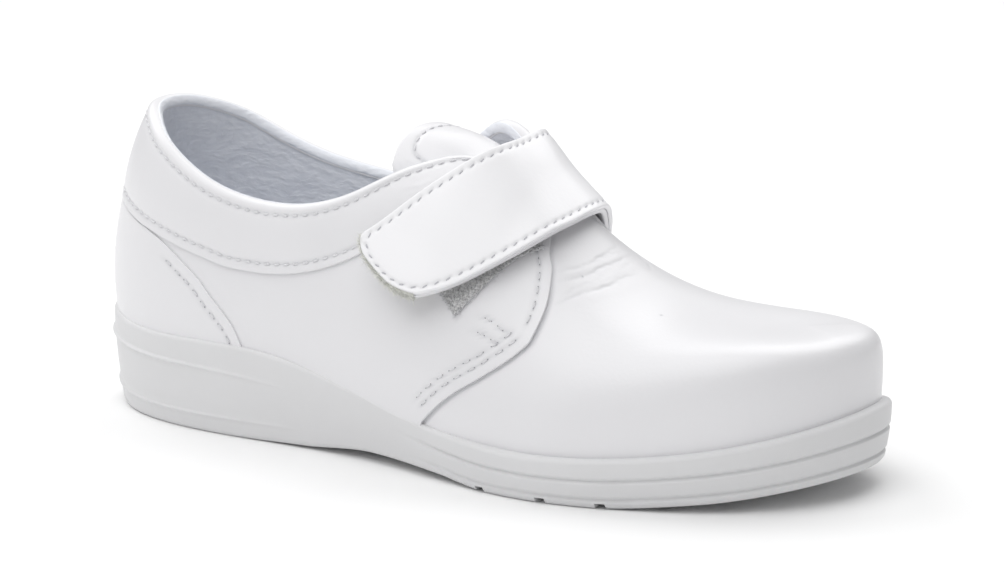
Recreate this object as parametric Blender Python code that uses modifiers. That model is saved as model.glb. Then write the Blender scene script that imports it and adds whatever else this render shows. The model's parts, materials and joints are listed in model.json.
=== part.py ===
"""Nursing clog for the right foot, in metres, +Z up, heel at -X, toe at +X, outer side of the foot at -Y."""

import math

import bmesh
import bpy
import numpy as np
from mathutils import Vector

# Sizes of the sole
LENGTH = 0.264
BALL_WIDTH = 0.098
WAIST_WIDTH = 0.0685
HEEL_WIDTH = 0.071
HEEL_RIM = 0.032
BALL_RIM = 0.0148
TOE_RIM = 0.0265
TOE_SPRING = 0.008
ARCH_RISE = 0.003
HEEL_BEVEL = 0.0025
SOLE_TAPER = 0.0022
SOLE_ROUNDING = 0.0012
LEDGE = 0.003
RIB_WIDTH = 0.0016
RIB_DEPTH = 0.0007
CUP_DEPTH = 0.007
GROOVE_WIDTH = 0.003
GROOVE_DEPTH = 0.0018

# Sizes of the upper
HEEL_TOP = 0.0973
COLLAR_DIP = 0.0748
INSTEP_TOP = 0.080
TOE_TOP = 0.0476
COLLAR_WIDTH = 0.059
UPPER_WALL = 0.0028
QUARTER_RAISE = 0.001
BAND_RAISE = 0.001
COUNTER_RAISE = 0.0007
SEAM_RUN = 0.0005

# Sizes of the loose pieces
GAP = 0.0003
INSOLE_THICKNESS = 0.005
TONGUE_THICKNESS = 0.0028
STRAP_THICKNESS = 0.0036
HOOK_THICKNESS = 0.001
LOOP_THICKNESS = 0.0012

# Plan of the sole's rim, each side as a share of the width beside it
PLAN = (
    # along, width, outer, inner
    (0.00, HEEL_WIDTH, 0.00, 0.00),
    (0.03, HEEL_WIDTH, 0.26, 0.26),
    (0.10, HEEL_WIDTH, 0.43, 0.43),
    (0.20, HEEL_WIDTH, 0.507, 0.493),
    (0.32, WAIST_WIDTH, 0.54, 0.467),
    (0.44, WAIST_WIDTH, 0.584, 0.416),
    (0.56, BALL_WIDTH, 0.485, 0.342),
    (0.68, BALL_WIDTH, 0.526, 0.449),
    (0.79, BALL_WIDTH, 0.47, 0.474),
    (0.89, BALL_WIDTH, 0.362, 0.418),
    (0.96, BALL_WIDTH, 0.20, 0.306),
    (1.00, BALL_WIDTH, -0.082, 0.082),
)
# Height of the rim, from the ball's up to the heel's or the toe's
RIM = (
    # along, rise, to the top of
    (0.00, 1.00, HEEL_RIM),
    (0.15, 0.855, HEEL_RIM),
    (0.30, 0.797, HEEL_RIM),
    (0.45, 0.331, HEEL_RIM),
    (0.60, 0.00, HEEL_RIM),
    (0.75, 0.00, TOE_RIM),
    (0.88, 0.36, TOE_RIM),
    (1.00, 1.00, TOE_RIM),
)
# Height of the underside
UNDERSIDE = (
    # along, share, of
    (0.00, 1.00, HEEL_BEVEL),
    (0.06, 0.00, HEEL_BEVEL),
    (0.22, 0.00, HEEL_BEVEL),
    (0.34, 0.27, ARCH_RISE),
    (0.44, 1.00, ARCH_RISE),
    (0.54, 0.67, ARCH_RISE),
    (0.62, 0.00, TOE_SPRING),
    (0.74, 0.00, TOE_SPRING),
    (0.86, 0.31, TOE_SPRING),
    (1.00, 1.00, TOE_SPRING),
)
# How far the upper stands in from the rim, as a share of the ledge
LEDGE_ROWS = (
    # along, share
    (0.00, 0.50),
    (0.15, 0.66),
    (0.30, 0.53),
    (0.40, 0.13),
    (0.48, 0.00),
    (0.54, 0.13),
    (0.65, 0.75),
    (0.85, 0.70),
    (1.00, 0.70),
)
# Top line of the upper: where each rising section ends, how far to each side and how high, and its
# steepness there
COLLAR = (
    # along, top along, outer side, inner side, outer rise, inner rise, outer drop, inner drop
    (0.00, 0.064, 0.00, 0.00, 1.00, 1.00, 68, 68),
    (0.04, 0.088, -0.24, 0.24, 0.88, 0.92, 72, 72),
    (0.12, 0.140, -0.415, 0.41, 0.52, 0.61, 80, 80),
    (0.22, 0.225, -0.485, 0.45, 0.09, 0.21, 86, 86),
    (0.32, 0.325, -0.50, 0.46, 0.00, 0.00, 86, 86),
    (0.41, 0.405, -0.44, 0.44, 0.27, 0.12, 76, 80),
    (0.46, 0.450, -0.36, 0.36, 0.54, 0.60, 62, 72),
    (0.50, 0.490, -0.28, 0.30, 0.70, 0.96, 50, 62),
    (0.53, 0.520, -0.215, 0.24, 0.74, 0.95, 40, 48),
    (0.57, 0.562, -0.085, 0.15, 0.54, 0.62, 22, 25),
)
RIDGE = (
    # along, top along, side, rise
    (0.61, 0.600, 0.066, 1.00),
    (0.67, 0.660, 0.075, 0.60),
    (0.74, 0.730, 0.10, 0.235),
    (0.82, 0.800, 0.127, 0.05),
    (0.91, 0.870, 0.15, 0.00),
    (1.00, 0.910, 0.16, 0.00),
)
THROAT_END = 0.61
# How full each rising section is near the sole and near the top line, and how it leans out above the sole
FULLNESS = (
    # along, wall, crown, lean
    (0.00, 0.35, 0.33, 0.13),
    (0.15, 0.35, 0.35, 0.06),
    (0.30, 0.35, 0.35, 0.04),
    (0.42, 0.35, 0.33, 0.04),
    (0.50, 0.36, 0.30, 0.02),
    (0.60, 0.36, 0.22, 0.00),
    (0.72, 0.48, 0.34, 0.02),
    (0.85, 0.64, 0.58, 0.03),
    (1.00, 0.72, 0.74, 0.05),
)


def turn_at(along):
    """Angle round the shoe: 0 at the back of the heel, a half turn at the toe by way of the outer side."""
    return np.arccos(1 - 2 * np.asarray(along, float))


def along_at(turn):
    return (1 - np.cos(turn)) / 2


def mirrored(turn):
    """The turn of the same place on the outer side, from 0 to a half turn."""
    turn = np.mod(turn, 2 * np.pi)
    return np.where(turn > np.pi, 2 * np.pi - turn, turn)


def ring_spline(along, outer, inner, turn):
    """Smooth closed curve through values on the outer side out to the toe and on the inner side back."""
    there = turn_at(along)
    knots = np.concatenate([there, 2 * np.pi - there[-2:0:-1]])
    values = np.concatenate([outer, inner[-2:0:-1]])
    count = len(knots)
    spans = np.diff(np.append(knots, knots[0] + 2 * np.pi))
    system = np.zeros((count, count))
    right = np.zeros(count)
    for i in range(count):
        before, after = spans[i - 1], spans[i]
        following = (i + 1) % count
        system[i, i - 1] += before
        system[i, i] += 2 * (before + after)
        system[i, following] += after
        right[i] = 6 * ((values[following] - values[i]) / after - (values[i] - values[i - 1]) / before)
    bends = np.linalg.solve(system, right)
    turn = np.mod(turn, 2 * np.pi)
    i = np.clip(np.searchsorted(knots, turn, "right") - 1, 0, count - 1)
    j = (i + 1) % count
    span = spans[i]
    a = turn - knots[i]
    c = span - a
    curve = (bends[i] * c**3 + bends[j] * a**3) / (6 * span)
    curve += (values[i] / span - bends[i] * span / 6) * c
    return curve + (values[j] / span - bends[j] * span / 6) * a


def through(places, values, at):
    """Curve through the values that never overshoots them."""
    places = np.asarray(places, float)
    values = np.asarray(values, float)
    spans = np.diff(places)
    slopes = np.diff(values) / spans
    tangents = np.zeros(len(values))
    tangents[0] = slopes[0]
    tangents[-1] = slopes[-1]
    for i in range(1, len(values) - 1):
        if slopes[i - 1] * slopes[i] > 0:
            w1 = 2 * spans[i] + spans[i - 1]
            w2 = spans[i] + 2 * spans[i - 1]
            tangents[i] = (w1 + w2) / (w1 / slopes[i - 1] + w2 / slopes[i])
    at = np.clip(at, places[0], places[-1])
    i = np.clip(np.searchsorted(places, at, "right") - 1, 0, len(places) - 2)
    s = (at - places[i]) / spans[i]
    start = (1 + 2 * s) * (1 - s) ** 2 * values[i] + s * (1 - s) ** 2 * spans[i] * tangents[i]
    return start + s * s * (3 - 2 * s) * values[i + 1] - s * s * (1 - s) * spans[i] * tangents[i + 1]


def column(rows, index):
    return np.array([row[index] for row in rows], float)


def plan_y(turn):
    width = column(PLAN, 1)
    return ring_spline(column(PLAN, 0), -column(PLAN, 2) * width, column(PLAN, 3) * width, turn)


def outline(turn, inset):
    """Point of the rim's plan, moved in by inset, and the direction outwards there."""
    step = 1e-4
    x = LENGTH * along_at(turn)
    y = plan_y(turn)
    dx = LENGTH * (along_at(turn + step) - along_at(turn - step))
    dy = plan_y(turn + step) - plan_y(turn - step)
    run = np.hypot(dx, dy)
    out_x, out_y = dy / run, -dx / run
    return x - inset * out_x, y - inset * out_y, out_x, out_y


def rim_height(turn):
    rises = BALL_RIM + column(RIM, 1) * (column(RIM, 2) - BALL_RIM)
    return ring_spline(column(RIM, 0), rises, rises, turn)


def underside_height(along):
    return through(column(UNDERSIDE, 0), column(UNDERSIDE, 1) * column(UNDERSIDE, 2), along)


def ledge_width(turn):
    return LEDGE * through(turn_at(column(LEDGE_ROWS, 0)), column(LEDGE_ROWS, 1), mirrored(turn))


def crest_rows():
    """Top line in metres and degrees: along, top, outer and inner y, outer and inner z, both drops."""
    rows = []
    for along, top, outer, inner, outer_rise, inner_rise, outer_drop, inner_drop in COLLAR:
        heights = [COLLAR_DIP + (HEEL_TOP - COLLAR_DIP) * rise for rise in (outer_rise, inner_rise)]
        sides = [outer * COLLAR_WIDTH, inner * COLLAR_WIDTH]
        rows.append([along, LENGTH * top, *sides, *heights, outer_drop, inner_drop])
    for along, top, side, rise in RIDGE:
        height = TOE_TOP + (INSTEP_TOP - TOE_TOP) * rise
        away = side * BALL_WIDTH / 2
        rows.append([along, LENGTH * top, away, away, height, height, 0, 0])
    return np.array(rows)


def crest(turn):
    """Top line of the upper at each turn, its slope along the ridge and the steepness beside it."""
    rows = crest_rows()
    along = rows[:, 0]
    there = mirrored(turn)
    inside = np.mod(turn, 2 * np.pi) > np.pi
    x = ring_spline(along, rows[:, 1], rows[:, 1], turn)
    y = np.where(
        inside,
        through(turn_at(along), rows[:, 3], there),
        through(turn_at(along), rows[:, 2], there),
    )
    closed = there >= turn_at(THROAT_END) - 1e-6
    z = ring_spline(along, rows[:, 4], rows[:, 5], np.where(closed, there, turn))
    drop = np.radians(np.clip(ring_spline(along, rows[:, 6], rows[:, 7], turn), 0, 90))
    drop = np.where(closed, 0, drop)
    step = 1e-3
    near = np.clip(there, 2 * step, np.pi - 0.2)
    rise = ring_spline(along, rows[:, 4], rows[:, 4], near + step)
    rise -= ring_spline(along, rows[:, 4], rows[:, 4], near - step)
    run = ring_spline(along, rows[:, 1], rows[:, 1], near + step)
    run -= ring_spline(along, rows[:, 1], rows[:, 1], near - step)
    return np.stack([x, y, z], -1), drop, rise / run


def last(turn, height):
    """Outer face of the upper before its raised panels: height is 0 at the sole and 1 at the top line."""
    turn, height = np.broadcast_arrays(np.asarray(turn, float), np.asarray(height, float))
    foot_x, foot_y, out_x, out_y = outline(turn, ledge_width(turn) + QUARTER_RAISE)
    foot = np.stack([foot_x, foot_y, rim_height(turn) + GAP], -1)
    top, drop, slope = crest(turn)
    along, wall, crown, lean = np.array(FULLNESS).T
    wall = ring_spline(along, wall, wall, turn)
    crown = ring_spline(along, crown, crown, turn)
    lean = ring_spline(along, lean, lean, turn)
    reach = np.linalg.norm(top - foot, axis=-1)
    away = foot[..., :2] - top[..., :2]
    away /= np.linalg.norm(away, axis=-1)[..., None]
    up = np.stack([lean * out_x, lean * out_y, np.ones_like(out_x)], -1)
    flat = np.cos(drop)
    fall = flat**2 * slope * away[..., 0] - np.sin(drop)
    down = np.stack([flat * away[..., 0], flat * away[..., 1], fall], -1)
    down /= np.linalg.norm(down, axis=-1)[..., None]
    low = foot + (wall * reach)[..., None] * up
    high = top + (crown * reach)[..., None] * down
    t = height[..., None]
    return foot * (1 - t) ** 3 + 3 * low * t * (1 - t) ** 2 + 3 * high * t * t * (1 - t) + top * t**3


def last_normal(turn, height):
    """Direction out of the last."""
    turn, height = np.broadcast_arrays(np.asarray(turn, float), np.asarray(height, float))
    step = 1e-3
    height = np.clip(height, step, 0.99)
    round_shoe = last(turn + step, height) - last(turn - step, height)
    upwards = last(turn, height + step) - last(turn, height - step)
    normal = np.cross(round_shoe, upwards)
    return normal / np.linalg.norm(normal, axis=-1)[..., None]


# Seams of the upper: the counter behind, the quarter's front edge and the lower edge of the collar band
COUNTER_SEAM = (
    # height, along
    (0.00, 0.259),
    (0.12, 0.246),
    (0.20, 0.231),
    (0.29, 0.211),
    (0.39, 0.187),
    (0.47, 0.156),
    (0.53, 0.120),
    (1.00, 0.120),
)
QUARTER_EDGE = (
    # height, along
    (0.00, 0.524),
    (0.07, 0.544),
    (0.146, 0.572),
    (0.217, 0.608),
    (0.31, 0.642),
    (0.37, 0.655),
    (0.475, 0.659),
    (0.63, 0.648),
    (0.69, 0.636),
    (1.00, THROAT_END + 0.006),
)
BAND_EDGE = (
    # along, height
    (0.00, 0.53),
    (0.05, 0.53),
    (0.12, 0.537),
    (0.19, 0.533),
    (0.235, 0.517),
    (0.27, 0.525),
    (0.305, 0.546),
    (0.34, 0.579),
    (0.38, 0.621),
    (0.42, 0.658),
    (0.50, 0.745),
    (0.57, 0.83),
    (0.63, 0.88),
    (1.00, 0.88),
)
# The same run as a turn round the shoe and as a share of a section's height
SEAM_TURN = SEAM_RUN / (LENGTH / 2)
SEAM_HEIGHT = SEAM_RUN / COLLAR_DIP


def counter_turn(height):
    return through(column(COUNTER_SEAM, 0), turn_at(column(COUNTER_SEAM, 1)), height)


def quarter_turn(height):
    return through(column(QUARTER_EDGE, 0), turn_at(column(QUARTER_EDGE, 1)), height)


def band_height(turn):
    return through(turn_at(column(BAND_EDGE, 0)), column(BAND_EDGE, 1), mirrored(turn))


def rise(distance, run):
    """0 below the seam, 1 above it, with a soft step as wide as twice the run."""
    t = np.clip(distance / run / 2 + 0.5, 0, 1)
    return t * t * (3 - 2 * t)


def panel_height(turn, height):
    """How far quarter, counter and collar band stand out from the last."""
    there = mirrored(turn)
    quarter = rise(quarter_turn(height) - there, SEAM_TURN)
    counter = rise(counter_turn(height) - there, SEAM_TURN)
    band = rise(height - band_height(turn), SEAM_HEIGHT)
    return quarter * (QUARTER_RAISE + BAND_RAISE * band + COUNTER_RAISE * counter * (1 - band))


def outside(turn, height):
    """Outer face of the upper with its raised panels."""
    turn, height = np.broadcast_arrays(np.asarray(turn, float), np.asarray(height, float))
    return last(turn, height) + panel_height(turn, height)[..., None] * last_normal(turn, height)


# Columns of the upper's loft: each lies at a share of the way between two seams, or just beside a seam
HEEL_COLUMNS = 5
QUARTER_COLUMNS = 16
VAMP_COLUMNS = 14
ROWS_BELOW_BAND = 8
ROWS_ABOVE_BAND = 3
INNER_ROWS = (1.0, 0.86, 0.72, 0.58, 0.44, 0.3, 0.16, 0.0)
HEM_STEPS = 3
SEAM_PASSES = 12


def half_columns():
    """(block, share, nudge) of each column from the back of the heel to the toe."""
    columns = [(0, k / HEEL_COLUMNS, 0) for k in range(HEEL_COLUMNS)]
    columns += [(0, 1, -SEAM_TURN), (1, 0, SEAM_TURN)]
    columns += [(1, k / QUARTER_COLUMNS, 0) for k in range(1, QUARTER_COLUMNS)]
    columns += [(1, 1, -SEAM_TURN), (2, 0, SEAM_TURN)]
    columns += [(2, k / VAMP_COLUMNS, 0) for k in range(1, VAMP_COLUMNS + 1)]
    return np.array(columns, float)


def column_turn_at(columns, height):
    """Turn of each column at its own heights."""
    marks = np.stack([0 * height, counter_turn(height), quarter_turn(height), 0 * height + np.pi])
    block = np.broadcast_to(columns[:, 0].astype(int)[:, None], height.shape)
    low = np.take_along_axis(marks, block[None], 0)[0]
    high = np.take_along_axis(marks, block[None] + 1, 0)[0]
    return low + (high - low) * columns[:, 1:2] + columns[:, 2:3]


def row_heights(turn):
    """Heights of the outer rows, in pairs beside the collar band's edge; turn has a column for each row."""
    band = band_height(turn)
    below = np.arange(ROWS_BELOW_BAND) / ROWS_BELOW_BAND
    above = np.arange(1, ROWS_ABOVE_BAND + 1) / ROWS_ABOVE_BAND
    share_below = np.concatenate([below, [1, 1], 0 * above + 1])
    share_above = np.concatenate([0 * below, [0, 0], above])
    nudge = np.concatenate([0 * below, [-SEAM_HEIGHT, SEAM_HEIGHT], 0 * above])
    return share_below * band + share_above * (1 - band) + nudge


def unit(vectors):
    return vectors / np.linalg.norm(vectors, axis=-1)[..., None]


def both_sides(half):
    """Turns round the whole shoe from those of the outer half."""
    return np.concatenate([half, 2 * np.pi - half[-2:0:-1]])


class Loft:
    """Collects points and faces; a face given with a point twice loses the repeat."""

    def __init__(self):
        self.points = []
        self.faces = []

    def add(self, points):
        first = len(self.points)
        self.points.extend(map(tuple, points))
        return list(range(first, len(self.points)))

    def face(self, *corners):
        kept = [c for k, c in enumerate(corners) if c != corners[k - 1]]
        if len(kept) > 2:
            self.faces.append(kept)

    def band(self, low, high, closed=True):
        for k in range(len(low) if closed else len(low) - 1):
            following = (k + 1) % len(low)
            self.face(low[k], low[following], high[following], high[k])

    def ladder(self, ring):
        """Closes a ring that starts at the heel by rungs from the outer side to the inner side."""
        half = len(ring) // 2
        for k in range(half):
            self.face(ring[k], ring[k + 1], ring[-k - 1], ring[-k if k else 0])


def plan_centre():
    """Middle of the rim's plan, which becomes the origin."""
    x, y, _, _ = outline(np.linspace(0, 2 * np.pi, 721), 0.0)
    return Vector(((x.min() + x.max()) / 2, (y.min() + y.max()) / 2, 0))


def new_object(name, points, faces, home):
    mesh = bpy.data.meshes.new(name)
    mesh.from_pydata([tuple(Vector(p) - CENTRE) for p in points], [], faces)
    work = bmesh.new()
    work.from_mesh(mesh)
    bmesh.ops.recalc_face_normals(work, faces=work.faces)
    work.to_mesh(mesh)
    work.free()
    mesh.shade_smooth()
    mesh.set_sharp_from_angle(angle=math.radians(35))
    made = bpy.data.objects.new(name, mesh)
    home.objects.link(made)
    return made


def finish(made, colour, roughness, metallic=0.0):
    material = bpy.data.materials.new(made.name)
    material.use_nodes = True
    shader = material.node_tree.nodes["Principled BSDF"]
    shader.inputs["Base Color"].default_value = (*colour, 1)
    shader.inputs["Roughness"].default_value = roughness
    shader.inputs["Metallic"].default_value = metallic
    made.data.materials.append(material)


def cavity_inset(turn):
    """How far the inside of the wall lies in from the rim at the sole."""
    return ledge_width(turn) + QUARTER_RAISE + UPPER_WALL


# Upper: one hollow wall, its panels raised on the outside, its top edge rolled over
def ridge_ring(loft, points, throat):
    """A top row whose inner side shares the ridge's points with the outer side in front of the throat."""
    total = len(points)
    half = total // 2
    first = loft.add(points[: half + 1])
    ring = first + [None] * (total - half - 1)
    back = loft.add(points[total - throat + 1 :])
    ring[total - throat + 1 :] = back
    for i in range(throat, half):
        ring[total - i] = first[i]
    return ring


def upper_rows():
    """Outer and inner points of the upper by column and row, the normals of its top row and the number of
    columns to the throat's end."""
    half = half_columns()
    turn = np.zeros((len(half), ROWS_BELOW_BAND + 2 + ROWS_ABOVE_BAND))
    for _ in range(SEAM_PASSES):
        turn = column_turn_at(half, row_heights(turn))
    turn = both_sides(turn)
    height = row_heights(turn)
    normal = last_normal(turn, height)
    outer = outside(turn, height)
    inner_height = np.array(INNER_ROWS)
    inner_turn = turn[:, :1] + (turn[:, -1:] - turn[:, :1]) * inner_height
    inner_normal = last_normal(inner_turn, inner_height)
    inner = last(inner_turn, inner_height)
    throat = int(np.argmax(turn[: len(half), -1] >= turn_at(THROAT_END)))
    total = len(turn)
    for i in range(throat, len(half) - 1):
        shared = unit(normal[i, -1] + normal[total - i, -1])
        normal[i, -1] = normal[total - i, -1] = shared
        inner_normal[i, 0] = inner_normal[total - i, 0] = shared
        raised = panel_height(turn[i, -1], 1.0)
        outer[i, -1] = outer[total - i, -1] = last(turn[i, -1], 1.0) + raised * shared
        inner[total - i, 0] = inner[i, 0]
    inner = inner - UPPER_WALL * inner_normal
    foot_x, foot_y, _, _ = outline(inner_turn[:, -1], cavity_inset(inner_turn[:, -1]))
    inner[:, -1] = np.stack([foot_x, foot_y, rim_height(inner_turn[:, -1]) + GAP], -1)
    return outer, inner, normal[:, -1], throat


def make_upper(home):
    outer, inner, normal, throat = upper_rows()
    total = len(outer)
    open_ring = list(range(throat + 1)) + list(range(total - throat + 1, total))
    edge = outer[open_ring, -1]
    lip = inner[open_ring, 0]
    tangent = unit(np.roll(edge, -1, 0) - np.roll(edge, 1, 0))
    upwards = unit(np.cross(tangent, normal[open_ring]))
    upwards *= np.where(upwards[:, 2:3] < 0, -1, 1)
    radius = np.linalg.norm(edge - lip, axis=1)[:, None] / 2
    edge = edge - radius * upwards
    lip = lip - radius * upwards
    outer[open_ring, -1] = edge
    inner[open_ring, 0] = lip
    loft = Loft()
    rows = []
    for j in range(outer.shape[1] - 1):
        rows.append(loft.add(outer[:, j]))
    rows.append(ridge_ring(loft, outer[:, -1], throat))
    for low, high in zip(rows, rows[1:]):
        loft.band(low, high)
    inner_rows = [ridge_ring(loft, inner[:, 0], throat)]
    for j in range(1, inner.shape[1]):
        inner_rows.append(loft.add(inner[:, j]))
    for high, low in zip(inner_rows, inner_rows[1:]):
        loft.band(high, low)
    loft.band(inner_rows[-1], rows[0])
    previous = [rows[-1][i] for i in open_ring]
    for k in range(1, HEM_STEPS + 1):
        angle = math.pi * k / (HEM_STEPS + 1)
        middle = (edge + lip) / 2 + (edge - lip) / 2 * math.cos(angle) + radius * upwards * math.sin(angle)
        following = loft.add(middle)
        loft.band(previous, following)
        previous = following
    loft.band(previous, [inner_rows[0][i] for i in open_ring])
    return new_object("upper", loft.points, loft.faces, home)


# Sole: a cup with a ledge for the upper, two lines round its side, and treads under it
SOLE_COLUMNS = 88
LIP_ROUNDING = 0.0008
ROUND_MIDDLE = 0.3
RIB_LINES = (
    # along, upper line, lower line, as shares of the way down the side, and how far they stand out of it
    (0.00, 0.25, 0.79, 0.6),
    (0.18, 0.27, 0.80, 0.6),
    (0.27, 0.31, 0.80, 0.0),
    (0.48, 0.38, 0.80, 0.0),
    (0.55, 0.40, 0.80, -1.0),
    (1.00, 0.43, 0.80, -1.0),
)
RIB_PROFILE = (
    # place across a line from -1 to 1, share of its depth
    (-1, 0),
    (-0.35, 1),
    (0.35, 1),
    (1, 0),
)
TREADS = (
    # along, turned by degrees, length beyond both sides of the sole
    (0.085, 0, -0.012),
    (0.135, 0, -0.012),
    (0.185, 0, -0.012),
    (0.235, 0, -0.012),
    (0.565, -6, -0.014),
    (0.621, -4, 0.010),
    (0.690, 0, 0.010),
    (0.747, 4, 0.010),
    (0.800, 8, -0.014),
    (0.850, 12, -0.016),
)


def sole_ring(loft, turn, inset, height):
    x, y, _, _ = outline(turn, inset)
    return loft.add(np.stack([x, y, height + 0 * x], -1))


def make_sole(home, cutters):
    turn = np.linspace(0, 2 * np.pi, SOLE_COLUMNS, endpoint=False)
    along = along_at(turn)
    rim = rim_height(turn)
    bottom = underside_height(along)
    cavity = cavity_inset(turn)
    loft = Loft()
    rings = [
        sole_ring(loft, turn, cavity, rim - CUP_DEPTH),
        sole_ring(loft, turn, cavity, rim),
        sole_ring(loft, turn, LIP_ROUNDING, rim),
        sole_ring(loft, turn, ROUND_MIDDLE * LIP_ROUNDING, rim - ROUND_MIDDLE * LIP_ROUNDING),
    ]
    place, upper_line, lower_line, proud = np.array(RIB_LINES).T
    half_width = RIB_WIDTH / 2 / (rim - bottom)
    stand = RIB_DEPTH * through(place, proud, along)
    downs = [(LIP_ROUNDING / (rim - bottom), 0)]
    for line in (upper_line, lower_line):
        centre = through(place, line, along)
        for offset, share in RIB_PROFILE:
            downs.append((centre + offset * half_width, share))
    downs.append((1 - SOLE_ROUNDING / (rim - bottom), 0))
    for down, share in downs:
        inset = SOLE_TAPER * down**2 - share * stand
        rings.append(sole_ring(loft, turn, inset, rim + (bottom - rim) * down))
    middle = ROUND_MIDDLE * SOLE_ROUNDING
    rings.append(sole_ring(loft, turn, SOLE_TAPER + middle, bottom + middle))
    rings.append(sole_ring(loft, turn, SOLE_TAPER + SOLE_ROUNDING, bottom))
    for high, low in zip(rings, rings[1:]):
        loft.band(high, low)
    loft.ladder(rings[0])
    loft.ladder(rings[-1])
    sole = new_object("sole", loft.points, loft.faces, home)
    for tread in TREADS:
        cut_tread(cutters, *tread)
    cut = sole.modifiers.new("treads", "BOOLEAN")
    cut.operation = "DIFFERENCE"
    cut.operand_type = "COLLECTION"
    cut.collection = cutters
    cut.solver = "EXACT"
    return sole


def cut_tread(cutters, along, degrees, beyond):
    """A bar across the underside that cuts one tread groove, out through the sides or short of them."""
    turn = turn_at(along)
    _, sides, _, _ = outline(np.array([turn, 2 * np.pi - turn]), 0)
    bpy.ops.mesh.primitive_cube_add(size=1)
    bar = bpy.context.object
    bar.name = f"tread_cutter_{len(cutters.objects) + 1:02d}"
    for collection in bar.users_collection:
        collection.objects.unlink(bar)
    cutters.objects.link(bar)
    top = float(underside_height(along)) + GROOVE_DEPTH
    bottom = -GROOVE_DEPTH
    bar.scale = (GROOVE_WIDTH, sides[1] - sides[0] + beyond, top - bottom)
    bar.location = Vector((along * LENGTH, sides.mean(), (top + bottom) / 2)) - CENTRE
    bar.rotation_euler.z = math.radians(degrees)
    bar.hide_render = True
    bar.display_type = "WIRE"


# Insole: a loose pad in the sole's cup
INSOLE_ROUNDING = 0.001


def make_insole(home):
    turn = np.linspace(0, 2 * np.pi, SOLE_COLUMNS, endpoint=False)
    floor = rim_height(turn) - CUP_DEPTH + GAP
    side = cavity_inset(turn) + GAP
    top = floor + INSOLE_THICKNESS
    loft = Loft()
    rings = [
        sole_ring(loft, turn, side, floor),
        sole_ring(loft, turn, side, top - INSOLE_ROUNDING),
        sole_ring(loft, turn, side + INSOLE_ROUNDING, top),
    ]
    for low, high in zip(rings, rings[1:]):
        loft.band(low, high)
    loft.ladder(rings[0])
    loft.ladder(rings[-1])
    return new_object("insole", loft.points, loft.faces, home)


# Last at close steps, to find what lies beside a point
def last_samples():
    turn, height = np.meshgrid(
        np.linspace(0, 2 * np.pi, 360, endpoint=False),
        np.linspace(0.0, 1.0, 90),
        indexing="ij",
    )
    turn, height = turn.ravel(), height.ravel()
    return last(turn, height), last_normal(turn, height), panel_height(turn, height)


def beside(points, samples):
    """For each point: how far it lies out of the last, the direction out, how far it lies past the
    nearest sample along the surface, and how high the panel is there."""
    places, normals, panels = samples
    found = []
    for point in points:
        nearest = np.argmin(((places - point) ** 2).sum(1))
        gap = point - places[nearest]
        away = gap @ normals[nearest]
        past = np.linalg.norm(gap - away * normals[nearest])
        found.append((away, *normals[nearest], past, panels[nearest]))
    found = np.array(found)
    return found[:, 0], found[:, 1:4], found[:, 4], found[:, 5]


# Tongue: a curved sheet under the quarters that closes the throat
TONGUE = (
    # along, side, height, half width, drop at the sides
    (0.437, 0.00, 1.003, 0.190, 0.105),
    (0.475, 0.005, 0.983, 0.195, 0.120),
    (0.515, 0.02, 0.935, 0.200, 0.125),
    (0.560, 0.02, 0.865, 0.200, 0.115),
    (0.600, 0.03, 0.785, 0.194, 0.10),
    (0.645, 0.04, 0.680, 0.180, 0.08),
)
TONGUE_ROWS = 14
TONGUE_COLUMNS = 12
TONGUE_TOP_SKEW = 0.30
TONGUE_TOP_ROUND = 0.022
TONGUE_BOW = 2.3
TONGUE_SLACK = 0.0009
# Past the collar's edge the sheet is pushed in less and less
TONGUE_FREE_FROM = 0.002
TONGUE_FREE_TO = 0.008


def make_tongue(home, samples):
    along, side, height, half, drop = np.array(TONGUE).T
    across = np.linspace(-1, 1, TONGUE_COLUMNS + 1)
    round_end = 1 - np.sqrt(1 - (0.985 * across) ** 2)
    points = []
    for k in range(TONGUE_ROWS + 1):
        share = k / TONGUE_ROWS
        start = along[0] + TONGUE_TOP_ROUND * round_end
        place = start + (along[-1] - start) * share
        middle = through(along, side, place) * BALL_WIDTH
        reach = through(along, half, place) * BALL_WIDTH
        y = middle + across * reach
        x = place * LENGTH + (1 - share) ** 2 * TONGUE_TOP_SKEW * y
        bow = through(along, drop, place) * np.abs(across) ** TONGUE_BOW
        z = HEEL_TOP * (through(along, height, place) - bow)
        points.append(np.stack([x, y, z], -1))
    points = np.array(points)
    flat = points.reshape(-1, 3)
    depth = UPPER_WALL + GAP + TONGUE_SLACK
    for _ in range(3):
        away, out, past, _ = beside(flat, samples)
        near = np.clip((TONGUE_FREE_TO - past) / (TONGUE_FREE_TO - TONGUE_FREE_FROM), 0, 1)
        flat = flat - (np.clip(away + depth, 0, None) * near)[:, None] * out
    loft = Loft()
    rows = [loft.add(row) for row in flat.reshape(points.shape)]
    for low, high in zip(rows, rows[1:]):
        loft.band(low, high, closed=False)
    tongue = new_object("tongue", loft.points, loft.faces, home)
    thicken(tongue, TONGUE_THICKNESS, -1)
    return tongue


def thicken(sheet, thickness, offset):
    """Gives an open sheet its thickness; it is first turned so that its upper side is its outer side."""
    mesh = sheet.data
    if sum(face.normal.z * face.area for face in mesh.polygons) < 0:
        mesh.flip_normals()
    solid = sheet.modifiers.new("thickness", "SOLIDIFY")
    solid.thickness = thickness
    solid.offset = offset
    solid.use_even_offset = False


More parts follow.
